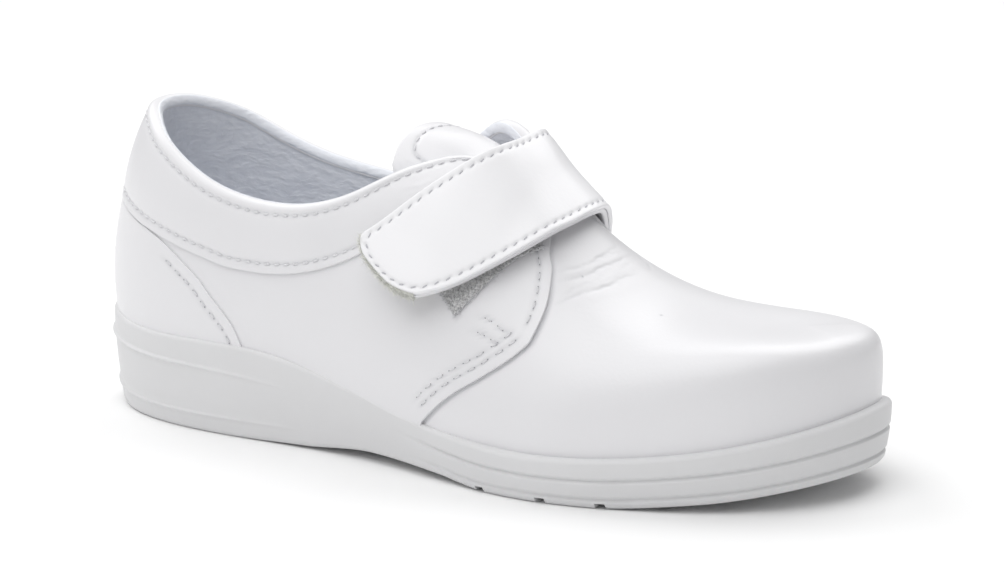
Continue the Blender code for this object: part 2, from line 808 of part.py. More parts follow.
# Strap: from its free tip on the outer quarter over the instep and down the inner quarter
STRAP = (
    # rear edge along, side, height, front edge along, side, height, seated, stand-off
    (0.432, -0.393, 0.692, 0.509, -0.480, 0.563, 1, 1.0),
    (0.456, -0.372, 0.746, 0.540, -0.454, 0.589, 1, 0.45),
    (0.484, -0.327, 0.815, 0.570, -0.408, 0.623, 1, 0.0),
    (0.515, -0.265, 0.882, 0.602, -0.321, 0.674, 1, 0.0),
    (0.540, -0.168, 0.938, 0.625, -0.235, 0.716, 0.5, 0.0),
    (0.556, -0.051, 0.965, 0.641, -0.122, 0.752, 0, 0.0),
    (0.558, 0.061, 0.976, 0.650, 0.000, 0.778, 0, 0.0),
    (0.550, 0.158, 0.961, 0.647, 0.102, 0.773, 0, 0.0),
    (0.531, 0.250, 0.886, 0.631, 0.214, 0.716, 0.5, 0.0),
    (0.517, 0.306, 0.795, 0.613, 0.300, 0.625, 1, 0.0),
    (0.497, 0.345, 0.670, 0.593, 0.365, 0.515, 1, 0.0),
)
STRAP_ROWS = 26
STRAP_COLUMNS = 8
STRAP_FORM_ROWS = 45
STRAP_FORM_COLUMNS = 13
STRAP_SLACK = 0.0006
# Past the upper's edge the strap spans free instead of lying on it
STRAP_BACKED_TO = 0.0015
STRAP_FREE_FROM = 0.0045
STRAP_TIP_LIFT = 0.0035
STRAP_TIP_ROUND = 0.07
TIP_SQUARENESS = 2.5
HOOK_LOOP_STACK = 3 * GAP + HOOK_THICKNESS + LOOP_THICKNESS


def strap_form(samples):
    """Middle of the strap as a close grid, in rows from its tip and columns from rear to front."""
    table = np.array(STRAP)
    places = np.linspace(0, 1, len(table))
    sizes = np.array([LENGTH, BALL_WIDTH, HEEL_TOP])
    station = np.linspace(0, 1, STRAP_FORM_ROWS)
    values = [through(places, table[:, k], station) for k in range(table.shape[1])]
    rear = np.stack(values[0:3], -1) * sizes
    front = np.stack(values[3:6], -1) * sizes
    across = np.linspace(0, 1, STRAP_FORM_COLUMNS)[None, :, None]
    form = rear[:, None] + (front - rear)[:, None] * across
    shape = form.shape[:2]
    seated = np.broadcast_to(values[6][:, None], shape)
    lift = STRAP_TIP_LIFT * values[7][:, None]
    outer_half = station[:, None] < 0.5
    for _ in range(4):
        away, out, past, panel = beside(form.reshape(-1, 3), samples)
        away, past, panel = away.reshape(shape), past.reshape(shape), panel.reshape(shape)
        under = np.where(outer_half, QUARTER_RAISE + HOOK_LOOP_STACK, panel + GAP)
        short = under + STRAP_THICKNESS / 2 + STRAP_SLACK + lift - away
        backed = np.clip((STRAP_FREE_FROM - past) / (STRAP_FREE_FROM - STRAP_BACKED_TO), 0, 1)
        push = short * backed * np.where(short > 0, 1.0, seated)
        for _ in range(3):
            push = softened(push)
        form = form + push[..., None] * sheet_out(form)
    return form


def softened(values):
    """Each value averaged with its neighbours in the grid."""
    padded = np.pad(values, 1, mode="edge")
    return (2 * values + padded[:-2, 1:-1] + padded[2:, 1:-1] + padded[1:-1, :-2] + padded[1:-1, 2:]) / 6


def sheet_out(grid):
    """Direction out of a sheet that lies over the foot."""
    out = unit(np.cross(np.gradient(grid, axis=0), np.gradient(grid, axis=1)))
    middle = out[len(out) // 2, out.shape[1] // 2]
    return out if middle[2] > 0 else -out


def on_grid(grid, station, across):
    """Point of a grid at shares of the way along and across it."""
    u = np.clip(station, 0, 1) * (grid.shape[0] - 1)
    v = np.clip(across, 0, 1) * (grid.shape[1] - 1)
    i = np.minimum(u.astype(int), grid.shape[0] - 2)
    j = np.minimum(v.astype(int), grid.shape[1] - 2)
    s, t = (u - i)[..., None], (v - j)[..., None]
    near = grid[i, j] * (1 - t) + grid[i, j + 1] * t
    far = grid[i + 1, j] * (1 - t) + grid[i + 1, j + 1] * t
    return near * (1 - s) + far * s


def tip_round(across):
    """How far the rounded tip stands back from its middle, across the strap."""
    side = 0.99 * np.abs(2 * across - 1)
    return 1 - (1 - side**TIP_SQUARENESS) ** (1 / TIP_SQUARENESS)


def sheet_grid(loft, surface):
    """Joins a grid of points into an open sheet."""
    grid = [loft.add(row) for row in surface]
    for low, high in zip(grid, grid[1:]):
        loft.band(low, high, closed=False)


def make_strap(home, form):
    across, share = np.meshgrid(
        np.linspace(0, 1, STRAP_COLUMNS + 1),
        np.linspace(0, 1, STRAP_ROWS + 1),
    )
    start = STRAP_TIP_ROUND * tip_round(across)
    loft = Loft()
    sheet_grid(loft, on_grid(form, start + (1 - start) * share, across))
    strap = new_object("strap", loft.points, loft.faces, home)
    thicken(strap, STRAP_THICKNESS, 0)
    return strap


# Hook patch under the strap's tip, and the loop patch on the outer quarter
HOOK_FROM = 0.035
HOOK_TO = 0.36
HOOK_MARGIN = 0.14
LOOP_CORNERS = (
    # along, height
    (0.561, 0.379),
    (0.630, 0.675),
    (0.552, 0.770),
    (0.490, 0.600),
)
PATCH_ROWS = 8


def make_hook_patch(home, form):
    across, share = np.meshgrid(
        np.linspace(HOOK_MARGIN, 1 - HOOK_MARGIN, PATCH_ROWS - 1),
        np.linspace(0, 1, PATCH_ROWS + 1),
    )
    start = HOOK_FROM + STRAP_TIP_ROUND * tip_round(across)
    under = form - (STRAP_THICKNESS / 2 + GAP + HOOK_THICKNESS / 2) * sheet_out(form)
    loft = Loft()
    sheet_grid(loft, on_grid(under, start + (HOOK_TO - start) * share, across))
    patch = new_object("hook_patch", loft.points, loft.faces, home)
    thicken(patch, HOOK_THICKNESS, 0)
    return patch


def make_loop_patch(home):
    front, along_front, along_back, back = np.array(LOOP_CORNERS)
    a, b = np.meshgrid(np.linspace(0, 1, PATCH_ROWS + 1), np.linspace(0, 1, PATCH_ROWS), indexing="ij")
    a, b = a[..., None], b[..., None]
    place = (1 - a) * ((1 - b) * front + b * back) + a * ((1 - b) * along_front + b * along_back)
    turn, height = turn_at(place[..., 0]), place[..., 1]
    stand = QUARTER_RAISE + GAP + LOOP_THICKNESS / 2
    surface = last(turn, height) + stand * last_normal(turn, height)
    loft = Loft()
    sheet_grid(loft, surface)
    patch = new_object("loop_patch", loft.points, loft.faces, home)
    thicken(patch, LOOP_THICKNESS, 0)
    return patch


def new_collection(name):
    made = bpy.data.collections.new(name)
    bpy.context.scene.collection.children.link(made)
    return made


for leftover in list(bpy.data.objects):
    bpy.data.objects.remove(leftover)

CENTRE = plan_centre()
clog = new_collection("nursing_clog")
cutters = new_collection("cutters")
samples = last_samples()
strap = strap_form(samples)

finish(make_sole(clog, cutters), (0.90, 0.90, 0.89), 0.45)
finish(make_upper(clog), (0.90, 0.90, 0.90), 0.35)
finish(make_insole(clog), (0.62, 0.66, 0.72), 0.8)
finish(make_tongue(clog, samples), (0.90, 0.90, 0.90), 0.35)
finish(make_strap(clog, strap), (0.91, 0.91, 0.91), 0.35)
finish(make_hook_patch(clog, strap), (0.85, 0.85, 0.80), 0.9)
finish(make_loop_patch(clog), (0.70, 0.70, 0.70), 0.95)
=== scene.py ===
"""Looks of a white nursing clog for the right foot: metres, +X to the toe, outer side at -Y."""

import json
import math

import bmesh
import bpy
import numpy as np
from mathutils import Matrix, Vector

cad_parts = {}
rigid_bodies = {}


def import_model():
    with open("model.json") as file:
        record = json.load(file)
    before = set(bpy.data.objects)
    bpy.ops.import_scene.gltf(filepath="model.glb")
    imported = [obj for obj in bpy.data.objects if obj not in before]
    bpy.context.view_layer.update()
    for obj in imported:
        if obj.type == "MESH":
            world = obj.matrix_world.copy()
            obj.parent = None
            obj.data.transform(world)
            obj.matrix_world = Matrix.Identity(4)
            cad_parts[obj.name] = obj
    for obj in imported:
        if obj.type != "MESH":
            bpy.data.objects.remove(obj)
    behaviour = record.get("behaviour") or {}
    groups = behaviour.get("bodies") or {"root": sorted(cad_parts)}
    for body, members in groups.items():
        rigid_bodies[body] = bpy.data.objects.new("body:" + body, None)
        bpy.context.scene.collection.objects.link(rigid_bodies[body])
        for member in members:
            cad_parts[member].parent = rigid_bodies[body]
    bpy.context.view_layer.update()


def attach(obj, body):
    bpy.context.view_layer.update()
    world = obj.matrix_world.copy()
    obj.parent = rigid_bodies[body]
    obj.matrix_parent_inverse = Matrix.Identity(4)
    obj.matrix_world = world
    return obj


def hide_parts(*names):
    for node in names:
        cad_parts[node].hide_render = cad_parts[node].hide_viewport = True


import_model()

# Sole
# One piece of white foamed polyurethane, moulded as a cup, with side lines and tread grooves from the mould.
# The upper is glued on its rim, which stands proud of the leather at heel and toe and meets it at the waist.
LENGTH = 0.264
BALL_WIDTH = 0.098
WAIST_WIDTH = 0.0685
HEEL_WIDTH = 0.071
HEEL_RIM = 0.032
BALL_RIM = 0.0148
TOE_RIM = 0.0265
TOE_SPRING = 0.008
ARCH_RISE = 0.003
HEEL_BEVEL = 0.0025
SOLE_TAPER = 0.0022
SOLE_ROUNDING = 0.0012
LIP_ROUNDING = 0.0014
CUP_DEPTH = 0.007
GROOVE_WIDTH = 0.003
GROOVE_DEPTH = 0.0018
LINE_WIDTH = 0.0018
LINE_DEPTH = 0.0007
LEDGE = 0.003
UPPER_WALL = 0.0028
QUARTER_RAISE = 0.001
SOLE_WHITE = (0.765, 0.765, 0.775)
SOLE_SHADE = (0.74, 0.74, 0.748)
RINGS_DOWN = (7, 10, 9, 10, 4)
SOLE_COLUMNS = 320
SOLE_RUNGS = 20

PLAN = (
    # along, width, outer, inner
    (0.00, HEEL_WIDTH, 0.00, 0.00),
    (0.03, HEEL_WIDTH, 0.26, 0.26),
    (0.10, HEEL_WIDTH, 0.43, 0.43),
    (0.20, HEEL_WIDTH, 0.507, 0.493),
    (0.32, WAIST_WIDTH, 0.54, 0.467),
    (0.44, WAIST_WIDTH, 0.584, 0.416),
    (0.56, BALL_WIDTH, 0.485, 0.342),
    (0.68, BALL_WIDTH, 0.526, 0.449),
    (0.79, BALL_WIDTH, 0.47, 0.474),
    (0.89, BALL_WIDTH, 0.362, 0.418),
    (0.96, BALL_WIDTH, 0.20, 0.306),
    (1.00, BALL_WIDTH, -0.082, 0.082),
)
RIM = (
    # along, rise, to the top of
    (0.00, 1.00, HEEL_RIM),
    (0.15, 0.855, HEEL_RIM),
    (0.30, 0.797, HEEL_RIM),
    (0.45, 0.331, HEEL_RIM),
    (0.60, 0.00, HEEL_RIM),
    (0.75, 0.00, TOE_RIM),
    (0.88, 0.36, TOE_RIM),
    (1.00, 1.00, TOE_RIM),
)
UNDERSIDE = (
    # along, share, of
    (0.00, 1.00, HEEL_BEVEL),
    (0.06, 0.00, HEEL_BEVEL),
    (0.22, 0.00, HEEL_BEVEL),
    (0.34, 0.27, ARCH_RISE),
    (0.44, 1.00, ARCH_RISE),
    (0.54, 0.67, ARCH_RISE),
    (0.62, 0.00, TOE_SPRING),
    (0.74, 0.00, TOE_SPRING),
    (0.86, 0.31, TOE_SPRING),
    (1.00, 1.00, TOE_SPRING),
)
LEDGE_ROWS = (
    # along, share of the ledge
    (0.00, 0.50),
    (0.15, 0.66),
    (0.30, 0.53),
    (0.40, 0.13),
    (0.48, 0.00),
    (0.54, 0.13),
    (0.65, 0.75),
    (0.85, 0.70),
    (1.00, 0.70),
)
SIDE_LINES = (
    # along, upper line, lower line, as shares of the way down, upper stands out, lower stands out
    (0.00, 0.25, 0.79, 1.2, 0.9),
    (0.15, 0.27, 0.80, 1.1, 0.9),
    (0.26, 0.31, 0.80, 0.5, 0.6),
    (0.34, 0.34, 0.80, 0.0, 0.0),
    (0.48, 0.38, 0.80, 0.0, 0.0),
    (0.56, 0.40, 0.80, -1.0, -0.6),
    (1.00, 0.43, 0.81, -1.2, -1.2),
)
TREADS = (
    # along, turned by degrees, length beyond both sides of the sole
    (0.085, 0, -0.012),
    (0.135, 0, -0.012),
    (0.185, 0, -0.012),
    (0.235, 0, -0.012),
    (0.565, -6, -0.014),
    (0.621, -4, 0.010),
    (0.690, 0, 0.010),
    (0.747, 4, 0.010),
    (0.800, 8, -0.014),
    (0.850, 12, -0.016),
)


def turn_at(along):
    """Angle round the shoe: 0 at the back of the heel, a half turn at the toe by way of the outer side."""
    return np.arccos(1 - 2 * np.asarray(along, float))


def along_at(turn):
    return (1 - np.cos(turn)) / 2


def mirrored(turn):
    """The turn of the same place on the outer side, from 0 to a half turn."""
    turn = np.mod(turn, 2 * np.pi)
    return np.where(turn > np.pi, 2 * np.pi - turn, turn)


def column(rows, index):
    return np.array([row[index] for row in rows], float)


def ring_spline(along, outer, inner, turn):
    """Smooth closed curve through values on the outer side out to the toe and on the inner side back."""
    there = turn_at(along)
    knots = np.concatenate([there, 2 * np.pi - there[-2:0:-1]])
    values = np.concatenate([outer, inner[-2:0:-1]])
    count = len(knots)
    spans = np.diff(np.append(knots, knots[0] + 2 * np.pi))
    system = np.zeros((count, count))
    right = np.zeros(count)
    for i in range(count):
        before, after = spans[i - 1], spans[i]
        following = (i + 1) % count
        system[i, i - 1] += before
        system[i, i] += 2 * (before + after)
        system[i, following] += after
        right[i] = 6 * ((values[following] - values[i]) / after - (values[i] - values[i - 1]) / before)
    bends = np.linalg.solve(system, right)
    turn = np.mod(turn, 2 * np.pi)
    i = np.clip(np.searchsorted(knots, turn, "right") - 1, 0, count - 1)
    j = (i + 1) % count
    span = spans[i]
    a = turn - knots[i]
    c = span - a
    curve = (bends[i] * c**3 + bends[j] * a**3) / (6 * span)
    curve += (values[i] / span - bends[i] * span / 6) * c
    return curve + (values[j] / span - bends[j] * span / 6) * a


def through(places, values, at):
    """Curve through the values that never overshoots them."""
    places = np.asarray(places, float)
    values = np.asarray(values, float)
    spans = np.diff(places)
    slopes = np.diff(values) / spans
    tangents = np.zeros(len(values))
    tangents[0] = slopes[0]
    tangents[-1] = slopes[-1]
    for i in range(1, len(values) - 1):
        if slopes[i - 1] * slopes[i] > 0:
            w1 = 2 * spans[i] + spans[i - 1]
            w2 = spans[i] + 2 * spans[i - 1]
            tangents[i] = (w1 + w2) / (w1 / slopes[i - 1] + w2 / slopes[i])
    at = np.clip(at, places[0], places[-1])
    i = np.clip(np.searchsorted(places, at, "right") - 1, 0, len(places) - 2)
    s = (at - places[i]) / spans[i]
    start = (1 + 2 * s) * (1 - s) ** 2 * values[i] + s * (1 - s) ** 2 * spans[i] * tangents[i]
    return start + s * s * (3 - 2 * s) * values[i + 1] - s * s * (1 - s) * spans[i] * tangents[i + 1]


def plan_y(turn):
    width = column(PLAN, 1)
    return ring_spline(column(PLAN, 0), -column(PLAN, 2) * width, column(PLAN, 3) * width, turn)


def outline(turn, inset):
    """Point of the rim's plan, moved in by inset, and the direction outwards there."""
    step = 1e-4
    x = LENGTH * along_at(turn)
    y = plan_y(turn)
    dx = LENGTH * (along_at(turn + step) - along_at(turn - step))
    dy = plan_y(turn + step) - plan_y(turn - step)
    run = np.hypot(dx, dy)
    out_x, out_y = dy / run, -dx / run
    return x - inset * out_x, y - inset * out_y, out_x, out_y


def rim_height(turn):
    rises = BALL_RIM + column(RIM, 1) * (column(RIM, 2) - BALL_RIM)
    return ring_spline(column(RIM, 0), rises, rises, turn)


def underside_height(along):
    return through(column(UNDERSIDE, 0), column(UNDERSIDE, 1) * column(UNDERSIDE, 2), along)


def ledge_width(turn):
    return LEDGE * through(turn_at(column(LEDGE_ROWS, 0)), column(LEDGE_ROWS, 1), mirrored(turn))


def cavity_inset(turn):
    """How far the inside of the wall lies in from the rim at the sole."""
    return ledge_width(turn) + QUARTER_RAISE + UPPER_WALL


def plan_centre():
    """Middle of the rim's plan, which is the frame's origin."""
    x, y, _, _ = outline(np.linspace(0, 2 * np.pi, 721), 0.0)
    return np.array([(x.min() + x.max()) / 2, (y.min() + y.max()) / 2, 0])


CENTRE = plan_centre()


def new_piece(name, points, faces, sharp=40):
    """Mesh object from points in the shoe's own coordinates, heel back at x = 0."""
    mesh = bpy.data.meshes.new(name)
    mesh.from_pydata((np.asarray(points) - CENTRE).tolist(), [], faces)
    mesh.shade_smooth()
    mesh.set_sharp_from_angle(angle=math.radians(sharp))
    made = bpy.data.objects.new(name, mesh)
    bpy.context.scene.collection.objects.link(made)
    return made


def dress(piece, material, node):
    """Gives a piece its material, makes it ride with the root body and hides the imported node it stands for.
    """
    piece.data.materials.append(material)
    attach(piece, "root")
    if node:
        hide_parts(node)


class Wire:
    """A socket of a material's nodes; arithmetic on it adds Math nodes."""

    def __init__(self, tree, socket=None):
        self.tree = tree
        self.socket = socket

    def node(self, kind, settings=None, inputs=None, output=0):
        made = self.tree.nodes.new("ShaderNode" + kind)
        for name, value in (settings or {}).items():
            setattr(made, name, value)
        for key, value in (inputs or {}).items():
            if isinstance(value, Wire):
                self.tree.links.new(value.socket, made.inputs[key])
            else:
                made.inputs[key].default_value = value
        return Wire(self.tree, made.outputs[output])

    def math(self, operation, first, second=0.0):
        return self.node("Math", {"operation": operation}, {0: first, 1: second})

    def __add__(self, other):
        return self.math("ADD", self, other)

    def __radd__(self, other):
        return self.math("ADD", other, self)

    def __sub__(self, other):
        return self.math("SUBTRACT", self, other)

    def __rsub__(self, other):
        return self.math("SUBTRACT", other, self)

    def __mul__(self, other):
        return self.math("MULTIPLY", self, other)

    def __rmul__(self, other):
        return self.math("MULTIPLY", other, self)


def new_material(name, **constants):
    """Material with these values on its shader, its nodes' start, its shader and its object coordinates."""
    made = bpy.data.materials.new(name)
    made.use_nodes = True
    shader = made.node_tree.nodes["Principled BSDF"]
    for socket, value in constants.items():
        shader.inputs[socket.replace("_", " ")].default_value = value
    wires = Wire(made.node_tree)
    return made, wires, shader, wires.node("TexCoord", output=3)


def feed(wires, shader, **links):
    for socket, wire in links.items():
        wires.tree.links.new(wire.socket, shader.inputs[socket.replace("_", " ")])


def blend(wires, share, first, second):
    """Colour from first to second as share goes from 0 to 1."""
    first, second = (shade if isinstance(shade, Wire) else (*shade, 1) for shade in (first, second))
    return wires.node("Mix", {"data_type": "RGBA"}, {0: share, 6: first, 7: second}, 2)


def noise(wires, place, scale, detail, rough):
    inputs = {"Vector": place, "Scale": scale, "Detail": detail, "Roughness": rough}
    return wires.node("TexNoise", None, inputs)


def bump(wires, height, distance, strength):
    return wires.node("Bump", None, {"Height": height, "Distance": distance, "Strength": strength})


def sole_foam():
    """Moulded foam: matt, a little mottled, with a fine orange-peel skin and ribbed tread faces below."""
    made, wires, shader, place = new_material("sole_foam", IOR=1.45, Specular_IOR_Level=0.35)
    mottle = noise(wires, place, 60, 4, 0.6)
    shade = blend(wires, mottle * 1.6 - 0.3, SOLE_SHADE, SOLE_WHITE)
    facing = wires.node("SeparateXYZ", None, {0: wires.node("NewGeometry", output=1)}, 2)
    under = wires.math("LESS_THAN", facing, -0.6)
    waves = wires.node("TexWave", {"bands_direction": "X"}, {"Vector": place, "Scale": 95.0})
    skin = noise(wires, place, 1400, 2, 0.5) * 0.5 + noise(wires, place, 260, 3, 0.5)
    height = skin * (1 - under) * 0.12 + waves * under
    relief = bump(wires, height, 0.0004, 0.6)
    feed(wires, shader, Base_Color=shade, Roughness=mottle * 0.12 + 0.42, Normal=relief)
    return made


def sole_rows(turn):
    """Points of the sole's skin from the cup's floor over the rim and down its side, a row for each ring."""
    along = along_at(turn)
    rim = rim_height(turn)
    bottom = underside_height(along)
    tall = rim - bottom
    place, upper_line, lower_line, upper_stand, lower_stand = np.array(SIDE_LINES).T
    first = through(place, upper_line, along)
    second = through(place, lower_line, along)
    half = LINE_WIDTH / 2 / tall
    painted_shade_and_specks = [LIP_ROUNDING / tall, first - half, first + half, second - half, second + half]
    painted_shade_and_specks.append(1 - SOLE_ROUNDING / tall)
    downs = []
    for low, high, count in zip(painted_shade_and_specks, painted_shade_and_specks[1:], RINGS_DOWN):
        downs += [low + (high - low) * k / count for k in range(count)]
    downs.append(painted_shade_and_specks[-1])
    rings = [(cavity_inset(turn), rim - CUP_DEPTH), (cavity_inset(turn), rim)]
    for angle in np.radians((0, 20, 40, 60, 80)):
        rings.append((LIP_ROUNDING * (1 - math.sin(angle)), rim - LIP_ROUNDING * (1 - math.cos(angle))))
    for down in downs:
        inset = SOLE_TAPER * down**2
        for centre, stand in ((first, upper_stand), (second, lower_stand)):
            across = np.clip(np.abs(down - centre) / half, 0, 1)
            inset = inset - LINE_DEPTH * through(place, stand, along) * (1 - across**2) ** 2
        rings.append((inset, rim - tall * down))
    for angle in np.radians((25, 50, 70, 90)):
        low = SOLE_ROUNDING * (1 - math.sin(angle))
        rings.append((SOLE_TAPER + SOLE_ROUNDING * (1 - math.cos(angle)), bottom + low))
    rows = []
    for inset, height in rings:
        x, y, _, _ = outline(turn, inset)
        rows.append(np.stack([x, y, height + 0 * x], -1))
    return np.array(rows)


def turn_outwards(mesh):
    """Gives all faces of a closed mesh one way round."""
    work = bmesh.new()
    work.from_mesh(mesh)
    bmesh.ops.recalc_face_normals(work, faces=work.faces)
    work.to_mesh(mesh)
    work.free()


def tread_cutter(along, degrees, beyond, home):
    """A bar with a slightly narrower root that cuts one tread groove, beyond the sides or short of them."""
    turn = turn_at(along)
    _, sides, _, _ = outline(np.array([turn, 2 * np.pi - turn]), 0)
    reach = (sides[1] - sides[0] + beyond) / 2
    top = float(underside_height(along)) + GROOVE_DEPTH
    half = GROOVE_WIDTH / 2
    bar = [(-1.25 * half, -GROOVE_DEPTH), (-half, top), (half, top), (1.25 * half, -GROOVE_DEPTH)]
    points = [(x, side * reach, z) for side in (-1, 1) for x, z in bar]
    faces = [(0, 1, 2, 3), (7, 6, 5, 4)] + [(k, k + 4, (k + 1) % 4 + 4, (k + 1) % 4) for k in range(4)]
    spin = Matrix.Rotation(math.radians(degrees), 3, "Z")
    middle = Vector((along * LENGTH, sides.mean(), 0))
    mesh = bpy.data.meshes.new("tread_cutter")
    mesh.from_pydata([tuple(spin @ Vector(p) + middle - Vector(CENTRE)) for p in points], [], faces)
    turn_outwards(mesh)
    home.objects.link(bpy.data.objects.new("tread_cutter", mesh))


def make_sole():
    """The moulded body: rings of skin, closed by a cup floor and a tread face, then grooved."""
    count, rungs = SOLE_COLUMNS, SOLE_RUNGS
    half = count // 2
    turn = np.linspace(0, 2 * np.pi, count, endpoint=False)
    rows = sole_rows(turn)
    points = rows.reshape(-1, 3).tolist()
    faces = []
    for low in range(0, (len(rows) - 1) * count, count):
        for k in range(count):
            following = (k + 1) % count
            faces.append((low + k, low + following, low + count + following, low + count + k))
    for first, flip in ((0, False), ((len(rows) - 1) * count, True)):
        grid = [[first] * (rungs + 1)]
        for k in range(1, half):
            outer, inner = np.array(points[first + k]), np.array(points[first + count - k])
            start = len(points)
            points += [(outer + (inner - outer) * s / rungs).tolist() for s in range(1, rungs)]
            grid.append([first + k, *range(start, start + rungs - 1), first + count - k])
        grid.append([first + half] * (rungs + 1))
        for a, b in zip(grid, grid[1:]):
            for s in range(rungs):
                corners = (a[s], b[s], b[s + 1], a[s + 1])
                kept = tuple(dict.fromkeys(corners))
                faces.append(kept[::-1] if flip else kept)
    sole = new_piece("moulded_sole", points, faces)
    turn_outwards(sole.data)
    home = bpy.data.collections.new("tread_cutters")
    bpy.context.scene.collection.children.link(home)
    for tread in TREADS:
        tread_cutter(*tread, home)
    cut = sole.modifiers.new("treads", "BOOLEAN")
    cut.operation = "DIFFERENCE"
    cut.operand_type = "COLLECTION"
    cut.collection = home
    cut.solver = "EXACT"
    graph = bpy.context.evaluated_depsgraph_get()
    carved = bpy.data.meshes.new_from_object(sole.evaluated_get(graph))
    sole.modifiers.clear()
    sole.data = carved
    for bar in list(home.objects):
        bpy.data.objects.remove(bar)
    bpy.data.collections.remove(home)
    carved.shade_smooth()
    carved.set_sharp_from_angle(angle=math.radians(35))
    return sole


sole = make_sole()
sole.data.materials.clear()
dress(sole, sole_foam(), "sole")

# Lasted upper
# White coated leather, cut as a vamp, a quarter round the heel, a heel counter and a padded collar band.
# Each panel is a sheet about 1 mm thick that lies over its neighbour, sewn there and stretched on one last.
HEEL_TOP = 0.0973
COLLAR_DIP = 0.0748
INSTEP_TOP = 0.080
TOE_TOP = 0.0476
COLLAR_WIDTH = 0.059
BAND_RAISE = 0.001
COUNTER_RAISE = 0.0007
THROAT_END = 0.61
SEAM_GAP = 0.00005
FOOT_SINK = -0.012
LEATHER_WHITE = (0.845, 0.841, 0.86)
# Grey that the leather takes in painted shade of creases, seam channels and stitch pits, and at a few real
# specks.
PAINTED_SHADE_AND_SPECK_GREY = (0.36, 0.37, 0.40)
LEATHER_GLOSS = 0.30
COLLAR = (
    # along, top along, outer side, inner side, outer rise, inner rise, outer drop, inner drop
    (0.00, 0.064, 0.00, 0.00, 1.00, 1.00, 68, 68),
    (0.04, 0.088, -0.24, 0.24, 0.88, 0.92, 72, 72),
    (0.12, 0.140, -0.415, 0.41, 0.52, 0.61, 80, 80),
    (0.22, 0.225, -0.485, 0.45, 0.09, 0.21, 86, 86),
    (0.32, 0.325, -0.50, 0.46, 0.00, 0.00, 86, 86),
    (0.41, 0.405, -0.44, 0.44, 0.27, 0.12, 76, 80),
    (0.46, 0.450, -0.36, 0.36, 0.54, 0.60, 62, 72),
    (0.50, 0.490, -0.28, 0.30, 0.70, 0.96, 50, 62),
    (0.53, 0.520, -0.215, 0.24, 0.74, 0.95, 40, 48),
    (0.57, 0.562, -0.085, 0.15, 0.54, 0.62, 22, 25),
)
RIDGE = (
    # along, top along, side, rise
    (0.61, 0.600, 0.066, 1.00),
    (0.67, 0.660, 0.075, 0.60),
    (0.74, 0.730, 0.10, 0.235),
    (0.82, 0.800, 0.127, 0.05),
    (0.91, 0.870, 0.15, 0.00),
    (1.00, 0.910, 0.16, 0.00),
)
FULLNESS = (
    # along, wall, crown, lean
    (0.00, 0.35, 0.33, 0.13),
    (0.15, 0.35, 0.35, 0.06),
    (0.30, 0.35, 0.35, 0.04),
    (0.42, 0.35, 0.33, 0.04),
    (0.50, 0.36, 0.30, 0.02),
    (0.60, 0.36, 0.22, 0.00),
    (0.72, 0.48, 0.34, 0.02),
    (0.85, 0.64, 0.58, 0.03),
    (1.00, 0.72, 0.74, 0.05),
)
COUNTER_SEAM = (
    # height, along
    (0.00, 0.259),
    (0.12, 0.246),
    (0.20, 0.231),
    (0.29, 0.211),
    (0.375, 0.192),
    (0.442, 0.166),
    (0.479, 0.147),
    (0.504, 0.128),
    (0.517, 0.108),
    (0.523, 0.085),
    (0.527, 0.050),
    (1.00, 0.050),
)
QUARTER_EDGE = (
    # height, along
    (0.00, 0.524),
    (0.07, 0.544),
    (0.146, 0.572),
    (0.217, 0.608),
    (0.31, 0.642),
    (0.37, 0.655),
    (0.475, 0.659),
    (0.63, 0.648),
    (0.69, 0.636),
    (1.00, THROAT_END + 0.006),
)
BAND_EDGE = (
    # along, height
    (0.00, 0.53),
    (0.05, 0.53),
    (0.12, 0.537),
    (0.19, 0.533),
    (0.235, 0.517),
    (0.27, 0.525),
    (0.305, 0.546),
    (0.34, 0.579),
    (0.38, 0.621),
    (0.42, 0.658),
    (0.50, 0.745),
    (0.57, 0.83),
    (0.63, 0.88),
    (1.00, 0.88),
)


def unit(vectors):
    return vectors / np.linalg.norm(vectors, axis=-1)[..., None]


def crest(turn):
    """Top line of the upper at each turn, its steepness beside it and its slope along the ridge."""
    rows = []
    for along, top, outer, inner, outer_rise, inner_rise, outer_drop, inner_drop in COLLAR:
        heights = [COLLAR_DIP + (HEEL_TOP - COLLAR_DIP) * rise for rise in (outer_rise, inner_rise)]
        sides = [outer * COLLAR_WIDTH, inner * COLLAR_WIDTH]
        rows.append([along, LENGTH * top, *sides, *heights, outer_drop, inner_drop])
    for along, top, side, rise in RIDGE:
        height = TOE_TOP + (INSTEP_TOP - TOE_TOP) * rise
        away = side * BALL_WIDTH / 2
        rows.append([along, LENGTH * top, away, away, height, height, 0, 0])
    rows = np.array(rows)
    along = rows[:, 0]
    there = mirrored(turn)
    inside = np.mod(turn, 2 * np.pi) > np.pi
    x = ring_spline(along, rows[:, 1], rows[:, 1], turn)
    inner_y = through(turn_at(along), rows[:, 3], there)
    y = np.where(inside, inner_y, through(turn_at(along), rows[:, 2], there))
    closed = there >= turn_at(THROAT_END) - 1e-6
    z = ring_spline(along, rows[:, 4], rows[:, 5], np.where(closed, there, turn))
    drop = np.radians(np.clip(ring_spline(along, rows[:, 6], rows[:, 7], turn), 0, 90))
    drop = np.where(closed, 0, drop)
    step = 1e-3
    near = np.clip(there, 2 * step, np.pi - 0.2)
    rise = ring_spline(along, rows[:, 4], rows[:, 4], near + step)
    rise -= ring_spline(along, rows[:, 4], rows[:, 4], near - step)
    run = ring_spline(along, rows[:, 1], rows[:, 1], near + step)
    run -= ring_spline(along, rows[:, 1], rows[:, 1], near - step)
    return np.stack([x, y, z], -1), drop, rise / run


